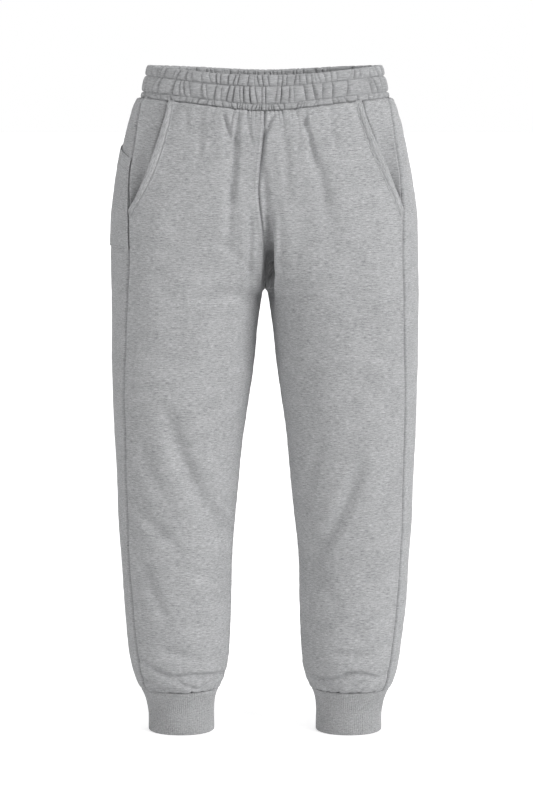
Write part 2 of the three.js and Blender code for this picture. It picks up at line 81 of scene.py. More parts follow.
# The smooth form of one half: a tube round one leg, which the middle plane cuts open above the crotch.
# outer and inner are its sides in x, front and back its reach in y, mid the y of its widest line,
# seam the x of the side seam on the front face, and square the exponent of its superellipse.
SECTION_COLUMNS = ("z", "outer", "inner", "front", "back", "mid", "seam", "square")
SECTIONS = (
    (-0.023, 0.1805, -0.1805, 0.103, 0.104, 0.0, 0.171, 2.15),
    (-0.028, 0.1845, -0.183, 0.106, 0.108, 0.0, 0.175, 2.15),
    (-0.043, 0.1915, -0.179, 0.110, 0.114, 0.0, 0.180, 2.2),
    (-0.084, 0.203, -0.157, 0.114, 0.126, 0.001, 0.1865, 2.25),
    (-0.141, 0.2145, -0.115, 0.117, 0.138, 0.002, 0.196, 2.3),
    (-0.199, 0.2215, -0.073, 0.118, 0.144, 0.003, 0.1975, 2.35),
    (-0.257, 0.2233, -0.030, 0.117, 0.138, 0.006, 0.1975, 2.4),
    (-0.282, 0.2235, -0.011, 0.116, 0.130, 0.008, 0.198, 2.4),
    (-0.298, 0.2235, 0.00015, 0.115, 0.124, 0.009, 0.1985, 2.4),
    (-0.303, 0.2235, 0.0045, 0.1145, 0.122, 0.009, 0.1985, 2.4),
    (-0.316, 0.2235, 0.0066, 0.114, 0.119, 0.009, 0.1987, 2.4),
    (-0.345, 0.223, 0.011, 0.112, 0.114, 0.008, 0.1995, 2.4),
    (-0.404, 0.2227, 0.0177, 0.107, 0.107, 0.006, 0.2008, 2.35),
    (-0.463, 0.2217, 0.0256, 0.102, 0.100, 0.004, 0.202, 2.35),
    (-0.522, 0.220, 0.033, 0.097, 0.093, 0.002, 0.2013, 2.3),
    (-0.581, 0.2174, 0.039, 0.092, 0.088, 0.001, 0.2005, 2.3),
    (-0.641, 0.215, 0.045, 0.086, 0.086, 0.002, 0.1993, 2.25),
    (-0.700, 0.2115, 0.0493, 0.079, 0.087, 0.005, 0.197, 2.25),
    (-0.760, 0.2083, 0.0513, 0.071, 0.087, 0.008, 0.193, 2.2),
    (-0.821, 0.2035, 0.053, 0.063, 0.086, 0.011, 0.1875, 2.2),
    (-0.851, 0.199, 0.0555, 0.059, 0.084, 0.012, 0.1835, 2.2),
    (-0.875, 0.193, 0.061, 0.054, 0.079, 0.013, 0.1785, 2.15),
    (-0.887, 0.188, 0.0665, 0.047, 0.072, 0.013, 0.174, 2.15),
    (-0.892, 0.1852, 0.0678, 0.042, 0.067, 0.013, 0.169, 2.1),
    (-0.900, 0.1802, 0.0713, 0.0385, 0.063, 0.0125, 0.166, 2.1),
    (-0.914, 0.1754, 0.0744, 0.0345, 0.059, 0.0125, 0.163, 2.1),
    (-0.932, 0.1730, 0.0757, 0.033, 0.058, 0.0125, 0.161, 2.1),
    (-0.956, 0.1731, 0.0752, 0.033, 0.058, 0.0125, 0.161, 2.1),
)

TABLE = np.array(SECTIONS)[::-1]

# How far the middle of front and back hangs below the sides
DIP_FRONT_RIM, DIP_BACK_RIM = 0.013, 0.007
DIP_FRONT_SEAM, DIP_BACK_SEAM = 0.017, 0.010
DIP_FRONT_SHOULDER = 0.012  # how much sooner the front rim drops away from the sides
DIP_LEVELS_OUT_AT = -0.165

# Inseam: radians in front of the innermost line, and the height below the crotch over which it gets there
INSEAM_SHIFT, INSEAM_SHIFT_REACH = 0.2, 0.24

# Side seam on the wearer's right: how far it is drawn to the front, where most, and over what height
SEAM_DRAWN, SEAM_DRAWN_AT, SEAM_DRAWN_OVER = 0.0040, -0.21, 0.10

# Centre front seam: swings to the side, each with the height where it is widest and its spread
SEAM_SWINGS = ((-0.0088, -0.147, 0.058), (0.002, -0.275, 0.03))
SEAM_SWING_WIDTH, SEAM_SWING_FRONT = 0.045, 0.05

# Steps in which an angle is followed round the cloth, and the small turn that gives its slope there
ARC_STEPS, ARC_TURN = 16, 0.01

# Rows of the panels' grid: each stretch ends at a height and has steps of about one size.
ROW_STRETCHES = (
    (-0.035, 0.0011),
    (-0.062, 0.0020),
    (-0.250, 0.0034),
    (-0.325, 0.0016),
    (-0.820, 0.0035),
    (-0.880, 0.0022),
    (CUFF_SEAM_Z, 0.0011),
)
FRONT_COLUMNS, BACK_COLUMNS = 124, 98
COLUMN_LATE, COLUMN_LATEST = 0.75, 6.0  # how late the columns give way to the middle plane
EDGE_SHARES = (0.0, 0.002, 0.004, 0.0065, 0.0095, 0.0135, 0.019, 0.0265)

# Cloth
FLEECE_WALL, PATCH_WALL = 0.0019, 0.0014
LEG_AXIS_X = 0.12
MIDDLE_REACH = 0.012  # within it the cloth's normal turns into the middle plane
TUCK_BELOW_WAIST, TUCK_ABOVE_CUFF = 0.012, 0.008  # heights over which folds set in
SHOULDER, SHOULDER_REACH = 0.0034, 0.011
ROLL_IN, ROLL_AT_WAIST, ROLL_AT_CUFF = 0.0026, 0.0015, 0.0018
CUT_PLACES = (1.0, 9.0)

# Unevenness of the cloth: height, shortest and longest wave, seed
UNEVEN_BROAD = (0.0011, 0.09, 0.26, 17)
UNEVEN_SMALL = (0.00028, 0.022, 0.06, 18)
UNEVEN_WAVES = 26
UNEVEN_SQUASH = (1.0, 1.0, 1.25)

# Seams: the groove, and the ridge of the allowances beside it
SEAM_GROOVE, SEAM_GROOVE_WIDTH = 0.0031, 0.0015
SEAM_RIDGE, SEAM_RIDGE_AT, SEAM_RIDGE_WIDTH = 0.0010, 0.0044, 0.0023
SEAM_PUCKER, SEAM_PUCKER_REACH = 0.00035, 0.007
SEAM_PUCKER_LENGTH, SEAM_PUCKER_DRIFT, SEAM_PUCKER_BEAT = 0.0028, 0.031, 0.0125
AT_START, AT_END = 1.0, 3.0  # where the puckers of a panel's two seams begin in their wave

# Gathers: how uneven their widths are, the least and greatest width and height, and the floors between them
GATHER_SPREAD, GATHER_WIDTHS, GATHER_HEIGHTS = 0.45, (0.4, 1.9), (0.6, 1.1)
GATHER_FLOOR, GATHER_FLOOR_POWER = 0.9, 1.7
GATHER_SHARP = 3.2
GATHER_CUT, GATHER_CUT_POWER = 0.46, 9  # extra depth of a gather's narrow bottom

# Puckers that a seam draws up: number of gathers, seed, sharpness, mean height, reach and depth
PUCKERS = {
    "fine at the waist": (84, 5, 3.2, 0.75, 0.011, 0.0013),
    "long at the waist": (40, 31, 2.2, 0.7, 0.030, 0.0024),
    "at the ankle": (30, 23, 2.4, 0.7, 0.011, 0.0022),
}
WAIST_LEAN, WAIST_LEAN_WAVE = 0.02, 60
ANKLE_LEAN, ANKLE_LEAN_WAVE = 0.06, 90
PUCKERS_LEAST, PUCKERS_AT_FRONT, PUCKERS_FRONT_TURN, PUCKERS_UNEVEN = 0.75, 0.6, 0.75, 0.35

# Waistband
BAND_RIM = (0.170, 0.099, 0.099)  # half width, front and back depth at the rim
BAND_SEAM = (0.180, 0.1025, 0.1035)
BAND_WALL = 0.005
STITCH_ROWS = (0.009, -0.014)
BAND_PINCH = -0.0033
BAND_COLUMNS = 1080
BAND_ROLL, BAND_ROLL_STEPS = 0.0024, 8
BAND_ROWS, BAND_INSIDE_ROWS = (11, 21, 14), 24
BAND_RIM_LOW, BAND_RIM_PUFF = 0.75, 0.35
BAND_BELOW_SEAM = 0.0008
BAND_SEAM_TUCK, BAND_SEAM_TUCK_REACH = 0.0007, 0.0012
BAND_PUFF_POWER = 3.0
BAND_VALLEY = 0.0006
BAND_INSIDE, BAND_INSIDE_TURN = 0.8, 0.03  # the inside shows the gathers lower and a little aside
GATHER_AT_SIDES, FULL_GATHER = 0.9, 0.75  # the gathers are drawn in deeper at the sides
GATHER_LEANS = ((0.03, 9), (0.014, 31))
TIERS = (  # lowest and highest z, number of gathers, height of the cloth between them, seed
    (WAIST_SEAM_Z, STITCH_ROWS[1], 116, 0.0032, 5),
    (STITCH_ROWS[1], STITCH_ROWS[0], 74, 0.0048, 8),
    (STITCH_ROWS[0], RIM_Z, 88, 0.0044, 3),
)

# Slanted side pocket
POCKET_TOP_X, POCKET_TOP_Z, POCKET_BOTTOM_Z, POCKET_BOW = 0.136, WAIST_SEAM_Z, -0.180, 1.2
POCKET_WIDER = 0.0062
BAND_TAIL = 0.012
FACING_SUNK, FACING_DEEP, FACING_UNDERLAP, FACING_TAIL = 0.0038, 0.0095, 0.014, 0.014
FACING_COLUMNS, OPENING_ROWS = 100, 60
FACING_LEAST = 0.003  # width that the facing keeps where the opening has closed
FACING_SAG, FACING_SAG_WIDTH = (0.0110, 0.0160), (0.0036, 0.0100)  # at the top and at the bottom
FACING_CLOSED, FACING_CLOSES_OVER = 0.0046, 0.0016  # narrower than this it sinks from the seam on
FACING_DEEP_FROM, FACING_DEEP_OVER = 0.3, 0.4  # shares of the way down
FACING_WIDE = 0.004
FACING_SLOPE = 0.7
FACING_SAG_POWER, FACING_SAG_START = 0.6, 0.006
OPENING_TUCK = 0.001
OPENING_DRAWN_IN, OPENING_DRAWN_OVER = 0.74, 0.07
POCKET_GAPE, POCKET_GAPE_REACH = 0.0038, 0.022
POCKET_GAPE_LOW, POCKET_GAPE_POWER = 1.3, 1.2
TAIL_SHIFT, TAIL_SHIFT_OVER = 0.0034, 0.034
TAIL_WIDTH, TAIL_HEIGHT = 0.25, 0.3
HEAD_HEIGHT, HEAD_OVER = 0.15, 0.009
POCKET_PUCKER_LENGTH, POCKET_PUCKER_DRIFT = 0.0021, 0.013
POCKET_BAND_ROWS = 110
POCKET_PUCKER, POCKET_PUCKER_AT, POCKET_PUCKER_WIDTH = 0.00022, 0.0085, 0.003

# Profile of the turned pocket edge: distance in from the opening and height over the front, round a loop
BAND_PROFILE = (
    (0.0012, -0.0022),
    (-0.0002, -0.0018),
    (-0.0012, -0.0006),
    (-0.0010, 0.0010),
    (0.0002, 0.0022),
    (0.0016, 0.0028),
    (0.0036, 0.0028),
    (0.0056, 0.0026),
    (0.0072, 0.0023),
    (0.0084, 0.0016),
    (0.0092, 0.0005),
    (0.0099, 0.0002),
    (0.0106, 0.0006),
    (0.0115, 0.0008),
    (0.0126, 0.0003),
    (0.0132, -0.0008),
    (0.0075, -0.0009),
    (0.0040, -0.0009),
)

# Patch pocket on the wearer's right of the back
PATCH_SIDE = -1
PATCH_WIDTH, PATCH_BOTTOM, PATCH_CORNER = 0.142, -0.236, 0.022
PATCH_TOP_AT_SEAM, PATCH_TOP_RISE, PATCH_RISE_REACH = -0.1075, 0.031, 0.090
PATCH_HEM = 0.018
PATCH_SEWN, PATCH_RAISED, PATCH_ON_CLOTH = 0.0022, 0.0015, 0.0002
PATCH_ROUNDING = 0.7
PATCH_IN_SEAM = 0.004
PATCH_BELLY_OVER, PATCH_BELLY_DOWN, PATCH_BELLY_AT_TOP = 0.05, 0.03, 0.4
PATCH_BELLY, PATCH_GROOVE, PATCH_GROOVE_AT, PATCH_GROOVE_WIDTH = 0.0005, 0.0004, 0.0042, 0.0013
PATCH_HEM_STEP, PATCH_HEM_OVER, PATCH_HEM_GROOVE, PATCH_HEM_GROOVE_WIDTH = 0.0004, 0.0015, 0.0005, 0.0012
PATCH_ACROSS = ((0.05, 5), (0.94, 61), (1.0, 9))  # each stretch ends at a share and has so many steps
PATCH_DOWN = ((0.16, 21), (0.94, 45), (1.0, 9))

# Ribbed cuffs
CUFF_GAP, CUFF_WALL, CUFF_ROLL = 0.0003, 0.003, 0.0015
CUFF_TOP = CUFF_SEAM_Z - CUFF_GAP
CUFF_ROWS, CUFF_INSIDE_ROWS, CUFF_ROLL_STEPS = (5, 16), 10, 6
CUFF_COLUMNS_PER_RIB = 6
CUFF_UNDER_HEM, CUFF_CLOSE_ROWS = 0.0016, 0.006
CUFF_TUCK, CUFF_TUCK_REACH = 0.0016, 0.0016
RIB_DEPTH, RIB_POWER, RIB_AT_SEAM, RIB_SETS_IN = 0.0009, 0.8, 0.55, 0.02
RIB_DRIFTS = ((0.02, 3, 1), (0.012, 7, 2))
RIB_DRIFT = 6
RIB_SWAYS = ((0.25, 90, 0), (0.6, 37, 2))
RIB_AT_ROLL = 0.6
CUFF_EASE, CUFF_EASE_ABOVE = 0.0007, 0.004
CUFF_RADIUS, CUFF_SEAM_GROOVE, CUFF_SEAM_WIDTH = 0.047, 0.0009, 0.0009

# Topstitching
STITCH_LENGTH, STITCH_PITCH, STITCH_THICK = 0.0027, 0.0034, 0.00042
STITCH_SIDES = 6
BAND_PATH_STEPS, OPENING_PATH_STEPS, PATCH_PATH_STEPS, PATCH_HEM_ROWS = 1400, 300, 160, 200
OPENING_STITCH_FROM, OPENING_STITCH_TO = 0.004, 0.003
PATCH_HEM_ENDS, PATCH_EDGE_START = (0.01, 0.97), 0.02
STITCH_ARCH, STITCH_DIVE = 0.35, 1.1
BAND_STITCH_LIFT, PATCH_STITCH_LIFT = -0.0001, 0.0001
OPENING_STITCH_AT, OPENING_STITCH_LIFT = 0.0098, 0.0004
PATCH_STITCH_INSET = 0.0042

# Layers of the marl: shares of the streaks' length and height, detail, place in the noise, weight
MARL_LAYERS = (
    (1.0, 1.0, 2.0, 0.0, 1.5),
    (0.32, 0.42, 2.0, 7.3, 1.3),
    (5.0, 0.7, 1.0, 3.1, 0.6),
)
MARL_PATCHES, MARL_PATCHES_WEIGHT = (0.032, 0.022, 2.0, 11.9), 0.32
DARK_FIBRES, DARK_FIBRES_PLACE, DARK_FIBRES_WEIGHT = 0.5, 21.0, 0.55
DARK_FIBRES_FROM, DARK_FIBRES_EDGE = 0.62, 6.0

# Knit: contrast of the marl, width of a wale and height of a course
FLEECE_KNIT, RIB_KNIT = (1.05, 0.0012, 0.0009), (1.1, 0.0011, 0.0009)
RIB_STREAKS = (0.003, 0.002)
KNIT_DRIFT, KNIT_DRIFT_PLACE, KNIT_DRIFT_ACROSS, KNIT_DRIFT_DOWN = 0.012, 4.0, 1.4, 1.1
KNIT_SLANT, KNIT_LOOPS, KNIT_WALES = 1.6, 0.22, 0.5
KNIT_FUZZ = (0.0011, 0.0007, 3.0, 2.0)
KNIT_RELIEF, KNIT_RELIEF_STRENGTH = 0.0003, 0.8

FLOOR_RADIUS, FLOOR_SIDES, FLOOR_BELOW = 30.0, 96, 0.0003
LIGHTS_AT = {"key": (0.74, -0.52, 0.42), "fill": (-0.7, -0.75, 0.3), "back": (0.42, 0.82, 0.40)}
LIGHT_DISTANCE = 3
SENSOR_WIDTH = 36.0
COLOUR_A, COLOUR_B, COLOUR_OUT = 6, 7, 2  # sockets of a colour mix

# Folds and creases: soft troughs from one x, z to another on the front or back, in millimetres.
# bend is how far the middle of a fold swings to the side. x < 0 is the wearer's right.
# The widest repeat the solids' folds.
CREASES = (
    # below the waistband, front
    (FRONT, -59, -34, -50, -72, 3.4, 4.6, 1),
    (FRONT, -52, -66, -51, -112, 8, 2.6, 0),
    (FRONT, -36, -40, -41, -84, 3.8, 4.4, 1),
    (FRONT, -41, -80, -48, -158, 6.5, 6.5, -1),
    (FRONT, -48, -150, -51, -222, 9, 4, 0),
    (FRONT, -23, -42, -18, -84, 3.6, 2.4, 2),
    (FRONT, 14, -42, 0, -74, 3.4, 5, 1),
    (FRONT, 0, -70, -6, -134, 4.2, 4.6, 0),
    (FRONT, -1, -128, 5, -215, 6, 4, 0),
    (FRONT, 5.5, -192, 4.6, -316, 6.4, 8, 0),
    (FRONT, 5, -216, 4.4, -316, 6, 9, 0),
    (FRONT, 4.8, -238, 4.4, -316, 5.6, 12, 0),
    (FRONT, 4.4, -262, 4.4, -316, 5.2, 14, 0),
    (FRONT, 17, -195, 17, -300, 5, -3.4, 0),
    (FRONT, 30, -180, 30, -290, 12, -2.4, 0),
    (FRONT, -20, -185, -20, -305, 5, 3.6, 0),
    (FRONT, -31, -185, -31, -300, 6, -2.2, 0),
    (FRONT, 24, -60, 30, -150, 8, 2.4, -3),
    (FRONT, 56, -36, 56, -58, 3.4, 4.6, -2),
    (FRONT, 56, -54, 70, -110, 5, 5.4, -1),
    (FRONT, 70, -102, 84, -170, 10, 4.6, -3),
    (FRONT, 84, -160, 96, -230, 17, 2.5, 0),
    (FRONT, 92, -38, 98, -88, 6, 2, 0),
    (FRONT, 112, -36, 120, -72, 6, 1.6, 0),
    (FRONT, -88, -38, -92, -96, 7, 2.2, 2),
    (FRONT, -112, -34, -110, -66, 5, 1.4, 0),
    # beside the pockets
    (FRONT, -168, -60, -176, -110, 8, 2, 0),
    (FRONT, -178, -108, -184, -160, 7, 2.4, 0),
    (FRONT, 163, -62, 172, -104, 7, 2, 0),
    (FRONT, 176, -84, 190, -150, 8, 3.4, 0),
    (FRONT, -118, -180, -140, -262, 20, 2.2, 0),
    # from the crotch
    (FRONT, 8, -282, 62, -226, 9, 3.0, -4),
    (FRONT, -9, -280, -58, -232, 9, 2.4, 4),
    (FRONT, 10, -300, 92, -292, 10, 2.2, -6),
    (FRONT, -10, -305, -84, -300, 10, 1.8, 6),
    (FRONT, 18, -322, 40, -400, 13, 2.4, 3),
    (FRONT, -16, -318, -36, -392, 12, 2.2, -3),
    # thighs
    (FRONT, -140, -300, -108, -398, 26, 2.2, 4),
    (FRONT, 130, -280, 150, -380, 26, 2.4, -4),
    (FRONT, 84, -360, 60, -450, 20, 2.0, 3),
    (FRONT, -62, -372, -82, -452, 20, 2.0, -3),
    # knees and shins
    (FRONT, -137, -482, -65, -641, 16, 8.5, 6),
    (FRONT, -173, -624, -134, -662, 12, 4.8, 0),
    (FRONT, -178, -520, -150, -585, 14, 3.4, 3),
    (FRONT, -62, -598, -46, -622, 5, 3.4, 0),
    (FRONT, -66, -716, -112, -706, 14, 2.6, 0),
    (FRONT, -176, -704, -153, -760, 11, 4.6, 0),
    (FRONT, 133, -554, 77, -674, 12, 8, -5),
    (FRONT, 78, -668, 66, -712, 11, 3.2, 0),
    (FRONT, 76, -520, 52, -615, 10, 4.4, 0),
    (FRONT, 66, -600, 50, -650, 6, 2.6, 0),
    (FRONT, 182, -560, 150, -640, 16, 2.8, -3),
    (FRONT, 168, -690, 112, -742, 16, 2.8, -4),
    (FRONT, 66, -690, 100, -752, 14, 2.4, 3),
    (FRONT, -92, -780, -150, -806, 12, 2.4, 3),
    (FRONT, 152, -776, 96, -812, 12, 2.6, -3),
    # above the cuffs
    (FRONT, -176, -842, -126, -869, 6, 4.6, 3),
    (FRONT, -128, -863, -60, -868, 4.6, 6, -3),
    (FRONT, -150, -884, -176, -870, 4, 3, 0),
    (FRONT, -92, -882, -64, -868, 4, 3.4, 0),
    (FRONT, -120, -876, -100, -884, 4, 2.6, 0),
    (FRONT, 84, -871, 122, -860, 4.6, 6.8, 3),
    (FRONT, 120, -860, 160, -866, 4.6, 5.4, -3),
    (FRONT, 66, -862, 92, -882, 4.4, 4, 0),
    (FRONT, 128, -878, 156, -868, 4.4, 3.6, 0),
    (FRONT, 160, -874, 176, -862, 4, 3, 0),
    (FRONT, -138, -826, -100, -836, 9, 2.4, 0),
    (FRONT, 110, -828, 150, -834, 9, 2.2, 0),
    # back, waist and seat
    (BACK, -70, -45, -58, -120, 10, 6.1, 3),
    (BACK, -28, -42, -20, -92, 7, 4.1, 0),
    (BACK, 22, -42, 16, -84, 7, 3.5, 0),
    (BACK, 48, -45, 44, -110, 10, 6.1, -3),
    (BACK, 110, -42, 118, -95, 9, 4.9, 0),
    (BACK, -108, -40, -112, -84, 8, 3.8, 0),
    (BACK, 150, -44, 160, -98, 8, 3.5, 0),
    (BACK, -40, -262, -150, -318, 18, 6.8, 10),
    (BACK, 40, -268, 145, -330, 18, 6.8, -10),
    (BACK, -22, -292, -118, -356, 13, 4.6, 8),
    (BACK, 22, -298, 112, -362, 13, 4.6, -8),
    (BACK, -16, -214, -60, -262, 12, 3.2, 4),
    (BACK, 16, -220, 64, -266, 12, 3.2, -4),
    # back of the knees and calves
    (BACK, -60, -470, -180, -520, 17, 7.4, 8),
    (BACK, 62, -500, 178, -470, 17, 7.4, 8),
    (BACK, -75, -560, -165, -590, 15, 6.1, -6),
    (BACK, 75, -585, 170, -550, 15, 6.1, -6),
    (BACK, -96, -520, -190, -556, 12, 4.1, 4),
    (BACK, 90, -536, 186, -518, 12, 4.1, -4),
    (BACK, -84, -640, -158, -660, 14, 4.1, 4),
    (BACK, 80, -652, 150, -632, 14, 4.1, 4),
    (BACK, -130, -720, -90, -790, 16, 3.8, 3),
    (BACK, 150, -716, 104, -780, 16, 3.8, -3),
    (BACK, -165, -850, -90, -868, 8, 6.1, 4),
    (BACK, 85, -852, 165, -866, 8, 6.1, -4),
    (BACK, -120, -834, -170, -828, 8, 3.5, 0),
    (BACK, 96, -836, 140, -828, 8, 3.5, 0),
)
CREASE_TAPER = 1.5  # how slowly a fold runs out past its ends
CREASE_RIM = 0.42  # how much of a fold's depth its soft banks stand up
CREASE_ENDS, CREASE_SWELL = 0.7, 0.3  # shares of its depth at its ends, and more in its middle
CREASE_SIDEWAYS, CREASE_FULL = 0.02, 0.35  # a fold fades where the cloth turns to the side


def smoothstep(t):
    s = np.clip(t, 0.0, 1.0)
    return s * s * (3.0 - 2.0 * s)


def lerp(a, b, t):
    return a + (b - a) * t


def bell(value, width):
    """1 at zero, falling away softly on both sides."""
    return np.exp(-((value / width) ** 2))


def column(name, level):
    """A column of the section table at any height, on a curve that never overshoots its rows."""
    z, value = TABLE[:, 0], TABLE[:, SECTION_COLUMNS.index(name)]
    rise = np.diff(value) / np.diff(z)
    before, after = rise[:-1], rise[1:]
    same_way = before * after > 0
    inner = np.where(same_way, 2 * before * after / np.where(same_way, before + after, 1.0), 0.0)
    slope = np.concatenate([rise[:1], inner, rise[-1:]])
    i = np.clip(np.searchsorted(z, level) - 1, 0, len(z) - 2)
    span = z[i + 1] - z[i]
    t = (level - z[i]) / span
    return (
        (2 * t**3 - 3 * t**2 + 1) * value[i]
        + (t**3 - 2 * t**2 + t) * span * slope[i]
        + (3 * t**2 - 2 * t**3) * value[i + 1]
        + (t**3 - t**2) * span * slope[i + 1]
    )


class Section:
    """The outline of the half garment at one or many heights."""

    def __init__(self, level):
        outer, inner = column("outer", level), column("inner", level)
        self.mid = column("mid", level)
        self.centre = (outer + inner) / 2
        self.half = (outer - inner) / 2
        self.front = column("front", level) + self.mid
        self.back = column("back", level) - self.mid
        self.square = column("square", level)

    def reach(self, angle):
        depth = np.where(np.sin(angle) > 0, self.front, self.back)
        across = np.abs(np.cos(angle) / self.half) ** self.square
        deep = np.abs(np.sin(angle) / depth) ** self.square
        return (across + deep) ** (-1.0 / self.square)


def dip(level, angle):
    t = np.clip((RIM_Z - level) / (RIM_Z - WAIST_SEAM_Z), 0.0, 1.0)
    fade = smoothstep((level - DIP_LEVELS_OUT_AT) / (WAIST_SEAM_Z - DIP_LEVELS_OUT_AT))
    front = lerp(DIP_FRONT_RIM, DIP_FRONT_SEAM, t)
    back = lerp(DIP_BACK_RIM, DIP_BACK_SEAM, t)
    shoulder = DIP_FRONT_SHOULDER * (1 - t) * np.cos(angle) ** 2
    return np.where(np.sin(angle) > 0, front + shoulder, back) * fade * np.sin(angle) ** 2


def form_point(angle, level):
    """Points of the wearer's left half. The angle is 0 at the side and a right angle at the front."""
    s = Section(level)
    r = s.reach(angle)
    x = s.centre + r * np.cos(angle)
    y = s.mid - r * np.sin(angle)
    return np.stack([x, y, level - dip(level, angle)], axis=-1)


def form_normal(angle, level):
    turn, step = 0.01, 0.001
    around = form_point(angle + turn, level) - form_point(angle - turn, level)
    up = form_point(angle, level + step) - form_point(angle, level - step)
    normal = np.cross(up, around)
    return normal / np.linalg.norm(normal, axis=-1, keepdims=True)


def front_angle_at_x(level, x):
    s = Section(level)
    dx = x - s.centre
    share = np.clip(np.abs(dx) / s.half, 0.0, 1.0)
    return np.arctan2(s.front * (1 - share**s.square) ** (1 / s.square), dx)


def seam_x(level, side):
    """Below the hip the seam on the wearer's right is drawn a little to the front."""
    drawn = SEAM_DRAWN * bell(level - SEAM_DRAWN_AT, SEAM_DRAWN_OVER)
    return column("seam", level) - (drawn if side < 0 else 0.0)


def seam_angle(level, side):
    return front_angle_at_x(level, seam_x(level, side))


def down_opening(level):
    """0 at the top of a side pocket's opening and 1 at its bottom."""
    return np.clip((POCKET_TOP_Z - level) / (POCKET_TOP_Z - POCKET_BOTTOM_Z), 0.0, 1.0)


def opening_angle(level, side):
    """The pocket on the wearer's right stands open a little wider."""
    t = down_opening(level)
    wider = POCKET_WIDER * np.sin(math.pi * t**2) if side < 0 else 0.0
    end_x = seam_x(POCKET_BOTTOM_Z, side)
    return front_angle_at_x(level, lerp(POCKET_TOP_X, end_x, t**POCKET_BOW) - wider)


def middle_angle(level, face):
    """Where the middle plane cuts the section, or where the inseam runs below the crotch."""
    s = Section(level)
    shift = INSEAM_SHIFT * smoothstep((CROTCH_Z - level) / INSEAM_SHIFT_REACH)
    below = math.pi - shift if face == FRONT else -math.pi - shift
    share = np.clip(s.centre / s.half, 0.0, 1.0)
    depth = s.front if face == FRONT else s.back
    y = depth * (1 - share**s.square) ** (1 / s.square)
    above = -face * np.arctan2(y, -s.centre)
    return np.where(level > CROTCH_Z, above, below)


def cloth_pace(section, angle):
    """The length of cloth that a small turn passes over, for each radian."""
    slope = (section.reach(angle + ARC_TURN) - section.reach(angle - ARC_TURN)) / ARC_TURN / 2
    return np.hypot(section.reach(angle), slope)


def angle_along(level, start, distance):
    """The angle that lies an arc length away from another."""
    s = Section(level)
    angle = start
    for _ in range(ARC_STEPS):
        angle = angle + distance / ARC_STEPS / cloth_pace(s, angle)
    return angle


def arc_between(level, start, end):
    """The arc length from one angle to another."""
    s = Section(level)
    total = 0.0
    for k in range(ARC_STEPS):
        angle = lerp(start, end, (k + 0.5) / ARC_STEPS)
        total = total + cloth_pace(s, angle) * (end - start) / ARC_STEPS
    return total


def panel_angle(level, start, end, share):
    """Above the crotch only the last columns of a panel give way to the middle plane."""
    whole = np.where(level > CROTCH_Z, np.sign(end) * math.pi, end)
    cut_off = whole - end
    late = COLUMN_LATE * (whole - start) / np.where(cut_off == 0, 1e-9, cut_off)
    power = np.where(cut_off == 0, COLUMN_LATEST, np.clip(late, 1.0, COLUMN_LATEST))
    return start + (whole - start) * share - cut_off * share**power


def crease_depth(point, normal):
    """How deep the folds are at points given with their normals, in metres."""
    total = np.zeros(point.shape[:-1])
    x, z = point[..., 0], point[..., 2]
    for face, x0, z0, x1, z1, width, depth, bend in CREASES:
        x0, z0, x1, z1, width, depth, bend = (v * MM for v in (x0, z0, x1, z1, width, depth, bend))
        dx, dz = x1 - x0, z1 - z0
        length = math.hypot(dx, dz)
        along = ((x - x0) * dx + (z - z0) * dz) / length
        run = np.clip(along / length, 0.0, 1.0)
        across = ((x - x0) * dz - (z - z0) * dx) / length - bend * 4 * run * (1 - run)
        past = np.maximum(0, np.maximum(-along, along - length)) / CREASE_TAPER
        t2 = (across / width) ** 2
        trough = (1 - CREASE_RIM * t2) * np.exp(-t2 - (past / width) ** 2)
        facing = smoothstep((face * normal[..., 1] - CREASE_SIDEWAYS) / CREASE_FULL)
        total += depth * trough * facing * (CREASE_ENDS + CREASE_SWELL * np.sin(math.pi * run))
    return total


def wave_field(point, shortest, longest, seed):
    """A smooth uneven field between about -1 and 1, from many crossing waves."""
    rng = np.random.default_rng(seed)
    total = np.zeros(point.shape[:-1])
    for _ in range(UNEVEN_WAVES):
        direction = rng.normal(size=3)
        direction /= np.linalg.norm(direction)
        length = shortest * (longest / shortest) ** rng.random()
        total += np.sin(2 * math.pi * (point @ direction) / length + rng.random() * 2 * math.pi)
    return total / math.sqrt(UNEVEN_WAVES / 2) / 2


def gather_angles(count, seed):
    """Angles of the gathers round a tube, uneven as elastic draws them, closed from the last to the first."""
    rng = np.random.default_rng(seed)
    widths = np.clip(np.exp(rng.normal(0.0, GATHER_SPREAD, count)), *GATHER_WIDTHS)
    edges = np.concatenate([[0.0], np.cumsum(widths)]) / widths.sum() * 2 * math.pi
    heights = rng.uniform(*GATHER_HEIGHTS, count)
    floors = rng.uniform(0.0, GATHER_FLOOR, count + 1) ** GATHER_FLOOR_POWER
    return edges, heights, floors


def gather_height(angle, table, sharp=GATHER_SHARP):
    """0 in the valley of a gather and up to 1 on the cloth that puffs out between two gathers."""
    edges, heights, floors = table
    turn = np.mod(angle, 2 * math.pi)
    k = np.clip(np.searchsorted(edges, turn, side="right") - 1, 0, len(heights) - 1)
    t = (turn - edges[k]) / (edges[k + 1] - edges[k])
    last = np.where(k + 1 == len(heights), 0, k + 1)
    floor = lerp(floors[k], floors[last], t)
    edge = np.abs(2 * t - 1)
    cut = GATHER_CUT * (1 - floor) * edge**GATHER_CUT_POWER
    return heights[k] * (lerp(floor, 1.0, 1 - edge**sharp) - cut)


def puckers(kind, turn, away):
    """Gathers that fade away from the seam that draws them up."""
    count, seed, sharp, mean, reach, deep = PUCKERS[kind]
    return deep * ((gather_height(turn, gather_angles(count, seed), sharp) - mean) * np.exp(-away / reach))


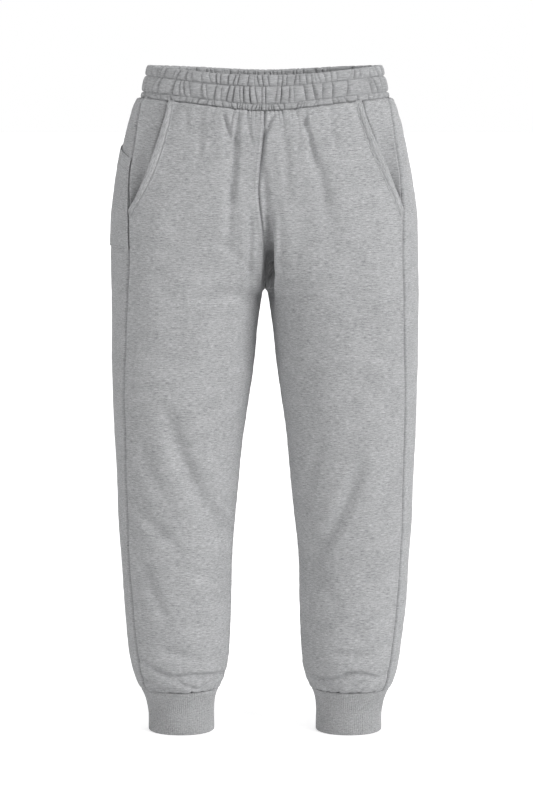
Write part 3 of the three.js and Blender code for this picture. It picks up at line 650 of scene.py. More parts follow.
def waist_puckers(side, point, level):
    """Cloth drawn up below the waistband: fine puckers at the seam, some of which run further down."""
    turn = np.arctan2(-point[..., 1], side * point[..., 0])
    below = WAIST_SEAM_Z - level
    fine = puckers("fine at the waist", turn, below)
    far = puckers("long at the waist", turn + WAIST_LEAN * np.sin(below * WAIST_LEAN_WAVE), below)
    at_front = PUCKERS_AT_FRONT * bell(turn - math.pi / 2, PUCKERS_FRONT_TURN)
    return (fine + far) * (PUCKERS_LEAST + at_front + PUCKERS_UNEVEN * np.sin(5 * turn + 1))


def ankle_puckers(angle, level):
    above = level - CUFF_SEAM_Z
    return puckers("at the ankle", angle + ANKLE_LEAN * np.sin(above * ANKLE_LEAN_WAVE), above)


def seam_relief(distance):
    """A seam's groove, and beside it the ridge of the allowances that are pressed to one side."""
    ridge = SEAM_RIDGE * bell(distance - SEAM_RIDGE_AT, SEAM_RIDGE_WIDTH)
    return ridge - SEAM_GROOVE * bell(distance, SEAM_GROOVE_WIDTH)


def seam_pucker(distance, level, start):
    """Small ripples along a seam, where the thread draws the cloth up."""
    drift = 2.2 * np.sin(level / SEAM_PUCKER_DRIFT + start)
    ripple = np.sin(level / SEAM_PUCKER_LENGTH + drift) * np.sin(level / SEAM_PUCKER_BEAT + start)
    return SEAM_PUCKER * ripple * np.exp(-distance / SEAM_PUCKER_REACH)


def uneven(point):
    """Broad and small unevenness of the cloth."""
    broad, *broad_waves = UNEVEN_BROAD
    small, *small_waves = UNEVEN_SMALL
    squashed = point * UNEVEN_SQUASH
    return broad * wave_field(point, *broad_waves) + small * wave_field(squashed, *small_waves)


def seam_bow(point):
    """The centre front seam swings to the wearer's right between waist and crotch."""
    x, y, z = point[..., 0], point[..., 1], point[..., 2]
    swing = sum(far * bell(z - height, spread) for far, height, spread in SEAM_SWINGS)
    return swing * bell(x, SEAM_SWING_WIDTH) * smoothstep(-y / SEAM_SWING_FRONT)


def shoulder(level):
    """The cloth stands off at once below the waistband."""
    return SHOULDER * np.exp(-((WAIST_SEAM_Z - level) / SHOULDER_REACH))


def cloth_point(side, angle, level, lift=0.0):
    """Points on the outer face of the dressed cloth, on the given side, moved out by lift."""
    point = form_point(angle, level) * (side, 1.0, 1.0)
    normal = form_normal(angle, level) * (side, 1.0, 1.0)
    off_middle = smoothstep(np.abs(point[..., 0]) / MIDDLE_REACH)
    normal[..., 0] *= np.where(level > CROTCH_Z, off_middle, 1.0)
    normal /= np.linalg.norm(normal, axis=-1, keepdims=True)
    point[..., 0] += seam_bow(point)
    below_waist = smoothstep((WAIST_SEAM_Z - level) / TUCK_BELOW_WAIST)
    above_cuff = smoothstep((level - CUFF_SEAM_Z) / TUCK_ABOVE_CUFF)
    out = (uneven(point) - crease_depth(point, normal)) * (below_waist * above_cuff)
    out = out + waist_puckers(side, point, level) + ankle_puckers(angle, level)
    return point + normal * (out + shoulder(level) + lift)[..., None]


def arc_along(points, axis):
    """Running length along one axis of a grid of points."""
    steps = np.linalg.norm(np.diff(points, axis=axis), axis=-1)
    start = np.zeros_like(np.take(steps, [0], axis=axis))
    return np.concatenate([start, np.cumsum(steps, axis=axis)], axis=axis)


def cloth_uv(points):
    """Flat coordinates in metres: across along each row from the middle column, down along that column."""
    across = arc_along(points, 1)
    middle = points.shape[1] // 2
    across -= across[:, middle : middle + 1]
    down = arc_along(points, 0)[:, middle : middle + 1]
    return np.stack([across, np.broadcast_to(-down, across.shape)], axis=-1)


def cut_place(name):
    """Each piece is cut from another place of the cloth, so that no two show the same marl."""
    return np.random.default_rng(sum(name.encode())).uniform(*CUT_PLACES, 2)


def grid_piece(name, points, uv, material, close_across=False, close_down=False):
    """A piece from a grid that is bent to its points. A closed way round repeats its first points."""
    rows, cols = points.shape[:2]
    bm = bmesh.new()
    bmesh.ops.create_grid(bm, x_segments=cols - 1, y_segments=rows - 1, size=0.5, calc_uvs=True)
    bm.loops.layers.uv.verify()
    mesh = bpy.data.meshes.new(name)
    bm.to_mesh(mesh)
    bm.free()
    uv = uv + cut_place(name)
    mesh.vertices.foreach_set("co", points.reshape(-1).astype(np.float32))
    corners = np.zeros(len(mesh.loops), np.int32)
    mesh.loops.foreach_get("vertex_index", corners)
    layer = mesh.uv_layers.active or mesh.uv_layers.new(name="Cloth")
    layer.name = "Cloth"
    layer.data.foreach_set("uv", uv.reshape(-1, 2)[corners].reshape(-1).astype(np.float32))
    if close_across or close_down:
        weld(mesh)
    return finish_piece(name, mesh, material)


def weld(mesh, distance=0.00002):
    bm = bmesh.new()
    bm.from_mesh(mesh)
    bmesh.ops.remove_doubles(bm, verts=bm.verts, dist=distance)
    bmesh.ops.recalc_face_normals(bm, faces=bm.faces)
    bm.to_mesh(mesh)
    bm.free()


def finish_piece(name, mesh, material):
    mesh.polygons.foreach_set("use_smooth", np.ones(len(mesh.polygons), bool))
    mesh.materials.append(material)
    mesh.update()
    piece = bpy.data.objects.new(name, mesh)
    bpy.context.scene.collection.objects.link(piece)
    return piece


def turn_outwards(piece, side):
    """A grid's faces look one way. They are turned where that is into the garment."""
    mesh = piece.data
    polygon = mesh.polygons[len(mesh.polygons) // 2]
    centre = polygon.center
    axis_x = side * LEG_AXIS_X if centre.z < CROTCH_Z else 0.0
    if polygon.normal.x * (centre.x - axis_x) + polygon.normal.y * centre.y < 0:
        mesh.flip_normals()
    return piece


def thicken(piece, wall):
    """The cloth's wall, inside its outer face."""
    solid = piece.modifiers.new("Cloth wall", "SOLIDIFY")
    solid.thickness = wall
    solid.offset = -1.0
    return piece


def stretched(start, stretches):
    """Values from a start on, in stretches that each end at a value and have so many even steps."""
    values = [start]
    for to, steps in stretches:
        values += list(np.linspace(values[-1], to, steps + 1)[1:])
    return np.array(values)


def row_levels():
    starts = [WAIST_SEAM_Z] + [to for to, _ in ROW_STRETCHES]
    return stretched(
        WAIST_SEAM_Z,
        [(to, max(1, round((start - to) / step))) for start, (to, step) in zip(starts, ROW_STRETCHES)],
    )


def panel_shares(count):
    edge = np.array(EDGE_SHARES)
    inside = np.linspace(edge[-1], 1 - edge[-1], count + 2)[1:-1]
    return np.concatenate([edge, inside, 1 - edge[::-1]])


def roll_in(level):
    """How far a panel's end turns in at the waist seam and at the cuff seam."""
    at_waist = bell(WAIST_SEAM_Z - level, ROLL_AT_WAIST)
    at_cuff = bell(level - CUFF_SEAM_Z, ROLL_AT_CUFF)
    return -ROLL_IN * at_waist - ROLL_IN * at_cuff


def opening_edge(level, side):
    """Where a front begins: at the opening of its pocket and below that at the side seam."""
    opening = np.where(level > POCKET_BOTTOM_Z, opening_angle(level, side), -1.0)
    return np.maximum(opening, seam_angle(level, side))


def make_panel(side, face, name, columns, start_of, material):
    levels = row_levels()[:, None]
    shares = panel_shares(columns)[None, :]
    start, end = start_of(levels, side), middle_angle(levels, face)
    angle = panel_angle(levels, start, end, shares)
    grid = np.broadcast_to(levels, angle.shape)
    across = arc_along(form_point(angle, grid), 1)
    from_start, from_end = across, across[:, -1:] - across
    pocket = (face == FRONT) & (grid > POCKET_BOTTOM_Z)
    at_start = seam_relief(from_start) + seam_pucker(from_start, grid, AT_START)
    relief = np.where(pocket, 0.0, at_start) + seam_relief(from_end) + seam_pucker(from_end, grid, AT_END)
    if face == FRONT:
        relief = relief + pocket_gape(grid) * np.exp(-from_start / POCKET_GAPE_REACH)
    points = cloth_point(side, angle, grid, relief + roll_in(grid))
    piece = grid_piece(name, points, cloth_uv(points), material)
    return thicken(turn_outwards(piece, side), FLEECE_WALL)


def pocket_gape(level):
    """How far the edge of a pocket opening stands off, most below its middle."""
    return POCKET_GAPE * np.sin(math.pi * down_opening(level) ** POCKET_GAPE_LOW) ** POCKET_GAPE_POWER


def make_facing(side, name, material):
    top, bottom = WAIST_SEAM_Z + OPENING_TUCK, POCKET_BOTTOM_Z - FACING_TAIL
    levels = np.linspace(top, bottom, OPENING_ROWS)[:, None]
    seam = seam_angle(levels, side)
    opening = np.where(levels > POCKET_BOTTOM_Z, opening_angle(levels, side), seam)
    shown = np.maximum(arc_between(levels, seam, opening), FACING_LEAST)
    shares = np.linspace(0.0, 1.0, FACING_COLUMNS)[None, :]
    distance = shares * (shown + FACING_UNDERLAP)
    angle = angle_along(levels, seam, distance)
    grid = np.broadcast_to(levels, angle.shape)
    relief = np.where(grid > POCKET_BOTTOM_Z, seam_relief(distance), 0.0)
    down = down_opening(grid)
    low = smoothstep((down - FACING_DEEP_FROM) / FACING_DEEP_OVER)
    wide = smoothstep((shown - FACING_WIDE) / FACING_WIDE)
    closing = (FACING_CLOSED - shown) / FACING_CLOSES_OVER
    sinking = smoothstep(np.maximum(distance / shown / FACING_SLOPE, closing))
    sunk = lerp(FACING_SUNK, FACING_DEEP, low * wide) * sinking
    near_edge = bell(distance - shown, lerp(*FACING_SAG_WIDTH, down))
    sag = lerp(*FACING_SAG, down**FACING_SAG_POWER) * near_edge * smoothstep(distance / FACING_SAG_START)
    points = cloth_point(side, angle, grid, relief - sunk - sag + roll_in(grid))
    piece = grid_piece(name, points, cloth_uv(points), material)
    return thicken(turn_outwards(piece, side), FLEECE_WALL)


def band_distance(level, distance):
    """How far in a place of the turned edge lies. It is drawn in at its top, and its tail is narrow."""
    tail = smoothstep((level - POCKET_BOTTOM_Z + BAND_TAIL) / BAND_TAIL)
    drawn_in = lerp(OPENING_DRAWN_IN, 1.0, smoothstep((POCKET_TOP_Z - level) / OPENING_DRAWN_OVER))
    return distance * lerp(TAIL_WIDTH, 1.0, tail) * drawn_in + tail_shift(level)


def tail_shift(level):
    """The lower end of the turned edge keeps clear of the side seam."""
    return TAIL_SHIFT * (1 - smoothstep((level - POCKET_BOTTOM_Z + BAND_TAIL) / TAIL_SHIFT_OVER))


def make_pocket_band(side, name, material):
    top, bottom = WAIST_SEAM_Z + OPENING_TUCK, POCKET_BOTTOM_Z - BAND_TAIL
    levels = np.linspace(top, bottom, POCKET_BAND_ROWS)[:, None]
    profile = np.array(BAND_PROFILE + BAND_PROFILE[:1])
    tail = smoothstep((levels - bottom) / BAND_TAIL)
    head = smoothstep((WAIST_SEAM_Z - levels) / HEAD_OVER)
    distance = band_distance(levels, profile[None, :, 0])
    height = profile[None, :, 1] * lerp(TAIL_HEIGHT, 1.0, tail) * lerp(HEAD_HEIGHT, 1.0, head)
    angle = angle_along(levels, opening_edge(levels, side), distance)
    grid = np.broadcast_to(levels, angle.shape)
    gape = pocket_gape(grid) * np.exp(-np.maximum(distance, 0) / POCKET_GAPE_REACH)
    ripple = np.sin(grid / POCKET_PUCKER_LENGTH + 2 * np.sin(grid / POCKET_PUCKER_DRIFT))
    pucker = POCKET_PUCKER * ripple * bell(distance - POCKET_PUCKER_AT, POCKET_PUCKER_WIDTH)
    points = cloth_point(side, angle, grid, height + gape + pucker + roll_in(grid))
    down = np.broadcast_to(-arc_along(points, 0)[:, :1], angle.shape)
    uv = np.stack([down, arc_along(points, 1)], axis=-1)
    piece = grid_piece(name, points, uv, material, close_across=True)
    cap_ends(piece.data)
    return piece


def cap_ends(mesh):
    bm = bmesh.new()
    bm.from_mesh(mesh)
    rim = [e for e in bm.edges if e.is_boundary]
    bmesh.ops.holes_fill(bm, edges=rim, sides=0)
    bmesh.ops.recalc_face_normals(bm, faces=bm.faces)
    bm.to_mesh(mesh)
    bm.free()


def patch_grid(side, shares_across, shares_down):
    """Angles, heights and distances on the patch pocket, back from the side seam and down from its top."""
    distance = shares_across[None, :] * PATCH_WIDTH
    top = PATCH_TOP_AT_SEAM + PATCH_TOP_RISE * (1 - np.exp(-distance / PATCH_RISE_REACH))
    from_corner = np.maximum(0.0, distance - PATCH_WIDTH + PATCH_CORNER)
    rounding = PATCH_CORNER - np.sqrt(PATCH_CORNER**2 - from_corner**2)
    bottom = PATCH_BOTTOM + PATCH_ROUNDING * rounding
    level = lerp(top, bottom, shares_down[:, None])
    distance = np.broadcast_to(distance, level.shape)
    angle = angle_along(level, seam_angle(level, side), -distance)
    return angle, level, distance, top - level, level - bottom


def patch_lift(distance, from_top, from_bottom):
    """How far the patch stands off the back: sewn down at its edges, with a turned hem at its opening."""
    side_edge = np.minimum(distance + PATCH_IN_SEAM, PATCH_WIDTH - distance)
    edge = np.minimum(side_edge, from_bottom)
    sewn = smoothstep(edge / PATCH_SEWN)
    loose = smoothstep(edge / PATCH_BELLY_OVER) * smoothstep(from_top / PATCH_BELLY_DOWN + PATCH_BELLY_AT_TOP)
    groove = PATCH_GROOVE * bell(edge - PATCH_GROOVE_AT, PATCH_GROOVE_WIDTH)
    step = PATCH_HEM_STEP * smoothstep((PATCH_HEM - from_top) / PATCH_HEM_OVER)
    hem = step - PATCH_HEM_GROOVE * bell(from_top - PATCH_HEM, PATCH_HEM_GROOVE_WIDTH)
    return PATCH_ON_CLOTH + PATCH_RAISED * sewn + PATCH_BELLY * loose - groove + hem * sewn


def make_patch(side, name, material):
    across, down = stretched(0.0, PATCH_ACROSS), stretched(0.0, PATCH_DOWN)
    angle, level, distance, from_top, from_bottom = patch_grid(side, across, down)
    points = cloth_point(side, angle, level, patch_lift(distance, from_top, from_bottom))
    piece = grid_piece(name, points, cloth_uv(points), material)
    return thicken(turn_outwards(piece, side), PATCH_WALL)


def band_radius(z, angle):
    t = (RIM_Z - z) / (RIM_Z - WAIST_SEAM_Z)
    half, front, back = (lerp(a, b, t) for a, b in zip(BAND_RIM, BAND_SEAM))
    depth = np.where(np.sin(angle) > 0, front, back)
    n = SECTIONS[0][SECTION_COLUMNS.index("square")]
    return (np.abs(np.cos(angle) / half) ** n + np.abs(np.sin(angle) / depth) ** n) ** (-1 / n)


def band_relief(z, angle):
    """How far the gathered face of the waistband stands out between its two rows of stitching."""
    out = np.zeros(np.broadcast(z, angle).shape)
    (first, first_waves), (second, second_waves) = GATHER_LEANS
    for low, high, count, puff, seed in TIERS:
        s = (z - low) / (high - low)
        lean = first * np.sin(first_waves * angle + seed) * (s - 0.5)
        lean = lean + second * np.sin(second_waves * angle + seed) * s
        height = gather_height(angle + lean, gather_angles(count, seed))
        height = height - GATHER_AT_SIDES * np.cos(angle) ** 2 * np.maximum(FULL_GATHER - height, 0.0)
        across = np.sqrt(np.clip(1 - np.abs(2 * s - 1) ** BAND_PUFF_POWER, 0.0, 1.0))
        inside = (s >= 0) & (s < 1 + 1e-9)
        valley = BAND_VALLEY * (1 - height) * (1 - across)
        out = np.where(inside, BAND_PINCH + puff * across * height - valley, out)
    return out


def make_waistband(name, material):
    angle = np.linspace(0.0, 2 * math.pi, BAND_COLUMNS + 1)[None, :]
    lowest, rim = WAIST_SEAM_Z - BAND_BELOW_SEAM, RIM_Z - BAND_ROLL
    outer_z = stretched(lowest, zip((STITCH_ROWS[1], STITCH_ROWS[0], rim), BAND_ROWS))[:, None]
    outer = band_relief(np.clip(outer_z, WAIST_SEAM_Z, RIM_Z), angle)
    outer = outer - BAND_SEAM_TUCK * bell(outer_z - WAIST_SEAM_Z, BAND_SEAM_TUCK_REACH)
    _, _, top_gathers, _, top_seed = TIERS[2]
    top_height = gather_height(angle, gather_angles(top_gathers, top_seed))
    turn = np.linspace(0.0, math.pi, BAND_ROLL_STEPS + 1)[1:-1, None]
    top = outer[-1:] * (1 + np.cos(turn)) / 2 - BAND_WALL * (1 - np.cos(turn)) / 2
    top_z = rim + BAND_ROLL * np.sin(turn) * (BAND_RIM_LOW + BAND_RIM_PUFF * top_height)
    inner_z = np.linspace(rim, lowest, BAND_INSIDE_ROWS)[:, None]
    puffed_in = band_relief(np.clip(inner_z, WAIST_SEAM_Z, RIM_Z), angle + BAND_INSIDE_TURN) - BAND_PINCH
    inner = -BAND_WALL - BAND_INSIDE * puffed_in
    z = np.concatenate([np.broadcast_to(a, (len(a), BAND_COLUMNS + 1)) for a in (outer_z, top_z, inner_z)])
    lift = np.concatenate([outer, top, inner])
    z, lift = np.concatenate([z, z[:1]]), np.concatenate([lift, lift[:1]])
    angle = np.broadcast_to(angle, z.shape)
    r = band_radius(z, angle) + lift
    points = np.stack([r * np.cos(angle), -r * np.sin(angle), z - dip(z, angle)], axis=-1)
    points[:, -1] = points[:, 0]
    return grid_piece(name, points, cloth_uv(points), material, close_across=True, close_down=True)


def rib_wave(ribs, angle, z):
    """1 on the crest of a rib and 0 between two, with the small drift of a stretched knit."""
    shift = sum(size * np.sin(waves * angle + start) for size, waves, start in RIB_DRIFTS)
    sway = sum(size * np.sin(z * waves + angle * turns) for size, waves, turns in RIB_SWAYS)
    return 0.5 + 0.5 * np.cos(ribs * angle + shift * RIB_DRIFT + sway)


def make_cuff(side, name, ribs, material):
    angle = np.linspace(0.0, 2 * math.pi, ribs * CUFF_COLUMNS_PER_RIB + 1)[None, :]
    head, hem = CUFF_TOP + CUFF_UNDER_HEM, FLOOR_Z + CUFF_ROLL
    outer_z = stretched(head, zip((CUFF_TOP - CUFF_CLOSE_ROWS, hem), CUFF_ROWS))
    inner_z = np.linspace(hem, head, CUFF_INSIDE_ROWS)
    turn = np.linspace(0.0, math.pi, CUFF_ROLL_STEPS + 1)[1:-1]
    roll_z = FLOOR_Z + CUFF_ROLL * (1 - np.sin(turn))
    roll_lift = -CUFF_WALL * (1 - np.cos(turn)) / 2
    z = np.concatenate([outer_z, roll_z, inner_z, outer_z[:1]])[:, None]
    lift = np.concatenate([outer_z * 0, roll_lift, inner_z * 0 - CUFF_WALL, [0.0]])[:, None]
    at_roll = RIB_AT_ROLL * np.abs(np.cos(turn))
    ribbed = np.concatenate([outer_z * 0 + 1, at_roll, inner_z * 0 - 1, [1.0]])[:, None]
    depth = RIB_DEPTH * lerp(RIB_AT_SEAM, 1.0, smoothstep((CUFF_TOP - z) / RIB_SETS_IN))
    relief = -depth * (1 - rib_wave(ribs, angle, z) ** RIB_POWER) * ribbed
    angle = np.broadcast_to(angle, relief.shape)
    z = np.broadcast_to(z, relief.shape)
    ease = CUFF_EASE * np.sin(5 * angle + 40 * z) * np.sin(2 * angle + 1.2 + 55 * z)
    past_seam = angle - (math.pi - INSEAM_SHIFT)
    from_seam = np.arctan2(np.sin(past_seam), np.cos(past_seam)) * CUFF_RADIUS
    groove = -CUFF_SEAM_GROOVE * bell(from_seam, CUFF_SEAM_WIDTH) * np.maximum(ribbed, 0)
    tucked = -CUFF_TUCK * bell(z - CUFF_TOP, CUFF_TUCK_REACH) * (ribbed > 0.9)
    out = lift + relief + (ease + groove) * smoothstep((z - FLOOR_Z) / CUFF_EASE_ABOVE) + tucked
    point = form_point(angle, np.minimum(z, CUFF_TOP + CUFF_GAP))
    point[..., 2] = z
    radial = np.stack([np.cos(angle), -np.sin(angle), 0 * angle], axis=-1)
    points = (point + radial * out[..., None]) * (side, 1.0, 1.0)
    points[:, -1] = points[:, 0]
    points[-1] = points[0]
    return grid_piece(name, points, cloth_uv(points), material, close_across=True, close_down=True)


def stitch_form():
    """One stitch along +X: a thread that dives into the cloth at both ends."""
    bm = bmesh.new()
    radius = STITCH_THICK / 2
    bmesh.ops.create_cone(
        bm, cap_ends=True, segments=STITCH_SIDES, radius1=radius, radius2=radius, depth=STITCH_LENGTH
    )
    bmesh.ops.rotate(bm, verts=bm.verts, matrix=Matrix.Rotation(math.pi / 2, 3, "Y"))
    long_edges = [e for e in bm.edges if abs(e.verts[0].co.x - e.verts[1].co.x) > STITCH_LENGTH / 2]
    bmesh.ops.subdivide_edges(bm, edges=long_edges, cuts=2)
    for v in bm.verts:
        share = abs(v.co.x) / (STITCH_LENGTH / 2)
        v.co.z += STITCH_THICK * (STITCH_ARCH - STITCH_DIVE * share**3)
    mesh = bpy.data.meshes.new("stitch form")
    bm.to_mesh(mesh)
    bm.free()
    places = np.array([v.co[:] for v in mesh.vertices])
    faces = [tuple(p.vertices) for p in mesh.polygons]
    bpy.data.meshes.remove(mesh)
    return places, faces


def stitch_row(path, outward):
    """Places of the stitches along a path of points, each with the cloth's normal there."""
    run = np.concatenate([[0.0], np.cumsum(np.linalg.norm(np.diff(path, axis=0), axis=1))])
    count = int(run[-1] / STITCH_PITCH)
    middle = (np.arange(count) + 0.5) * run[-1] / count
    half = STITCH_LENGTH / 2

    def at(values, where):
        return np.stack([np.interp(where, run, values[:, k]) for k in range(3)], axis=1)

    centre = at(path, middle)
    along = at(path, middle + half) - at(path, middle - half)
    along /= np.linalg.norm(along, axis=1, keepdims=True)
    normal = at(outward, middle)
    normal -= along * np.sum(normal * along, axis=1, keepdims=True)
    normal /= np.linalg.norm(normal, axis=1, keepdims=True)
    return centre, along, normal


def make_stitches(name, rows, material):
    """All the stitches of some rows as one joined mesh."""
    places, faces = stitch_form()
    bm = bmesh.new()
    for path, outward in rows:
        for centre, along, normal in zip(*stitch_row(path, outward)):
            across = np.cross(normal, along)
            spots = centre + places[:, :1] * along + places[:, 1:2] * across + places[:, 2:] * normal
            made = [bm.verts.new(spot) for spot in spots]
            for face in faces:
                bm.faces.new([made[i] for i in face])
    mesh = bpy.data.meshes.new(name)
    bmesh.ops.recalc_face_normals(bm, faces=bm.faces)
    bm.to_mesh(mesh)
    bm.free()
    return finish_piece(name, mesh, material)


def band_stitch_path(z):
    angle = np.linspace(0.0, 2 * math.pi, BAND_PATH_STEPS)
    lift = band_relief(np.full_like(angle, z), angle) + BAND_STITCH_LIFT
    r = band_radius(z, angle) + lift
    path = np.stack([r * np.cos(angle), -r * np.sin(angle), z - dip(z, angle)], axis=-1)
    outward = np.stack([np.cos(angle) / BAND_RIM[0], -np.sin(angle) / BAND_RIM[1], 0 * angle], axis=-1)
    return path, outward / np.linalg.norm(outward, axis=1, keepdims=True)


def opening_stitch_path(side):
    bottom = POCKET_BOTTOM_Z - BAND_TAIL
    level = np.linspace(WAIST_SEAM_Z - OPENING_STITCH_FROM, bottom + OPENING_STITCH_TO, OPENING_PATH_STEPS)
    angle = angle_along(level, opening_edge(level, side), band_distance(level, OPENING_STITCH_AT))
    gape = pocket_gape(level) * math.exp(-OPENING_STITCH_AT / POCKET_GAPE_REACH)
    path = cloth_point(side, angle, level, OPENING_STITCH_LIFT + gape)
    return path, form_normal(angle, level) * (side, 1.0, 1.0)


def patch_path(side, across, down, pick_of):
    """Points of the patch pocket that a row of stitches runs over, with the cloth's normals there."""
    angle, level, distance, from_top, from_bottom = patch_grid(side, across, down)
    pick = pick_of(from_top)
    lift = patch_lift(distance, from_top, from_bottom) + PATCH_STITCH_LIFT
    path = cloth_point(side, angle, level, lift)[pick]
    return path, (form_normal(angle, level) * (side, 1.0, 1.0))[pick]


def patch_edge_path(side):
    """Down the patch's free side and back along its bottom."""
    last = PATCH_PATH_STEPS - 1
    inset_across = PATCH_STITCH_INSET / PATCH_WIDTH
    inset_down = PATCH_STITCH_INSET / (PATCH_TOP_AT_SEAM + PATCH_TOP_RISE - PATCH_BOTTOM)
    across = np.linspace(PATCH_EDGE_START, 1 - inset_across, PATCH_PATH_STEPS)
    down = np.linspace(0, 1 - inset_down, PATCH_PATH_STEPS)
    rows = np.concatenate([np.arange(last), np.full(last + 1, last)])
    columns = np.concatenate([np.full(last, last), np.arange(last + 1)[::-1]])
    return patch_path(side, across, down, lambda from_top: (rows, columns))


def patch_hem_path(side):
    """Along the hem, below the patch's opening."""
    across, down = np.linspace(*PATCH_HEM_ENDS, PATCH_PATH_STEPS), np.linspace(0, 1, PATCH_HEM_ROWS)
    columns = np.arange(PATCH_PATH_STEPS)
    return patch_path(
        side, across, down, lambda from_top: (np.argmin(np.abs(from_top - PATCH_HEM), axis=0), columns)
    )


def add_node(tree, kind, inputs=None, **settings):
    """A shader node with its settings, and with its inputs linked to sockets or set to values."""
    made = tree.nodes.new(kind)
    for key, value in settings.items():
        setattr(made, key, value)
    for key, value in (inputs or {}).items():
        if isinstance(value, bpy.types.NodeSocket):
            tree.links.new(value, made.inputs[key])
        else:
            made.inputs[key].default_value = value
    return made


def calc(tree, operation, a, b=0.0, clamp=False):
    return add_node(tree, "ShaderNodeMath", {0: a, 1: b}, operation=operation, use_clamp=clamp).outputs[0]


def times(tree, a, b):
    return calc(tree, "MULTIPLY", a, b)


def plus(tree, a, b):
    return calc(tree, "ADD", a, b)


def mix_colours(tree, factor, a, b):
    """A mix of two colours, each a socket or a value."""
    mix = add_node(tree, "ShaderNodeMix", {"Factor": factor, COLOUR_A: a, COLOUR_B: b}, data_type="RGBA")
    return mix.outputs[COLOUR_OUT]


def add_group(tree, name, inputs):
    return add_node(tree, "ShaderNodeGroup", inputs, node_tree=bpy.data.node_groups[name])


def new_group(name, inputs, outputs):
    group = bpy.data.node_groups.new(name, "ShaderNodeTree")
    for label, kind, default in inputs:
        socket = group.interface.new_socket(name=label, in_out="INPUT", socket_type=kind)
        if default is not None:
            socket.default_value = default
    for label, kind in outputs:
        group.interface.new_socket(name=label, in_out="OUTPUT", socket_type=kind)
    return group, group.nodes.new("NodeGroupInput"), group.nodes.new("NodeGroupOutput")


def streaks(tree, vector, length, height, detail=2.0, place=0.0):
    """Noise drawn out along the cloth's courses."""
    across = calc(tree, "DIVIDE", 1.0, length)
    down = calc(tree, "DIVIDE", 1.0, height)
    scale = add_node(tree, "ShaderNodeCombineXYZ", {"X": across, "Y": down, "Z": 1.0}).outputs[0]
    scaled = add_node(tree, "ShaderNodeVectorMath", {0: vector, 1: scale}, operation="MULTIPLY")
    aside = (place, place * 1.7, place * 0.3)
    moved = add_node(tree, "ShaderNodeVectorMath", {0: scaled.outputs[0], 1: aside}).outputs[0]
    settings = {"Vector": moved, "Scale": 1.0, "Detail": detail, "Roughness": 0.55}
    return add_node(tree, "ShaderNodeTexNoise", settings).outputs[0]


def marl_group():
    """Heather marl: light and dark fibres spun together, which show as short streaks along the courses."""
    inputs = (
        ("Vector", "NodeSocketVector", None),
        ("Light", "NodeSocketColor", (0.5, 0.5, 0.5, 1.0)),
        ("Dark", "NodeSocketColor", (0.2, 0.2, 0.2, 1.0)),
        ("Streak Length", "NodeSocketFloat", 0.009),
        ("Streak Height", "NodeSocketFloat", 0.0018),
        ("Contrast", "NodeSocketFloat", 1.0),
    )
    outputs = (("Color", "NodeSocketColor"), ("Shade", "NodeSocketFloat"))
    group, given, out = new_group("Heather marl", inputs, outputs)
    vector, light, dark, length, height, contrast = given.outputs[:6]
    layers = [
        (
            streaks(group, vector, times(group, length, wide), times(group, height, high), detail, place),
            weight,
        )
        for wide, high, detail, place, weight in MARL_LAYERS
    ]
    layers.append((streaks(group, vector, *MARL_PATCHES), MARL_PATCHES_WEIGHT))
    total = 0.0
    for shade, weight in layers:
        total = plus(group, total, times(group, calc(group, "SUBTRACT", shade, 0.5), weight))
    total = calc(group, "ADD", times(group, total, contrast), 0.5, clamp=True)
    mixed = mix_colours(group, total, dark, light)
    short, low = times(group, length, DARK_FIBRES), times(group, height, DARK_FIBRES)
    specks = streaks(group, vector, short, low, 1.0, DARK_FIBRES_PLACE)
    fibre = calc(
        group, "MULTIPLY", calc(group, "SUBTRACT", specks, DARK_FIBRES_FROM), DARK_FIBRES_EDGE, clamp=True
    )
    fibres = mix_colours(group, times(group, fibre, DARK_FIBRES_WEIGHT), mixed, dark)
    group.links.new(fibres, out.inputs[0])
    group.links.new(total, out.inputs[1])
    return group


def knit_group():
    """Height of a jersey face: columns of small V-shaped loops, blurred by the nap of the brushed yarn."""
    inputs = (
        ("Vector", "NodeSocketVector", None),
        ("Wale", "NodeSocketFloat", 0.0012),
        ("Course", "NodeSocketFloat", 0.0009),
        ("Nap", "NodeSocketFloat", 0.6),
    )
    group, given, out = new_group("Jersey knit", inputs, (("Height", "NodeSocketFloat"),))
    vector, wale, course, nap = given.outputs[:4]
    parts = add_node(group, "ShaderNodeSeparateXYZ", {0: vector})
    drift = streaks(group, vector, KNIT_DRIFT, KNIT_DRIFT, 1.0, KNIT_DRIFT_PLACE)
    across = calc(group, "DIVIDE", parts.outputs[0], wale)
    down = calc(group, "DIVIDE", parts.outputs[1], course)
    across = calc(group, "FRACT", plus(group, across, times(group, drift, KNIT_DRIFT_ACROSS)))
    down = plus(group, down, times(group, drift, KNIT_DRIFT_DOWN))
    off_middle = calc(group, "ABSOLUTE", calc(group, "SUBTRACT", across, 0.5))
    slanted = plus(group, down, times(group, off_middle, KNIT_SLANT))
    loops = calc(group, "SINE", times(group, slanted, 2 * math.pi))
    wales = calc(group, "SINE", times(group, across, math.pi))
    knit = plus(group, times(group, loops, KNIT_LOOPS), times(group, wales, KNIT_WALES))
    height = plus(group, knit, times(group, streaks(group, vector, *KNIT_FUZZ), nap))
    group.links.new(height, out.inputs[0])
    return group


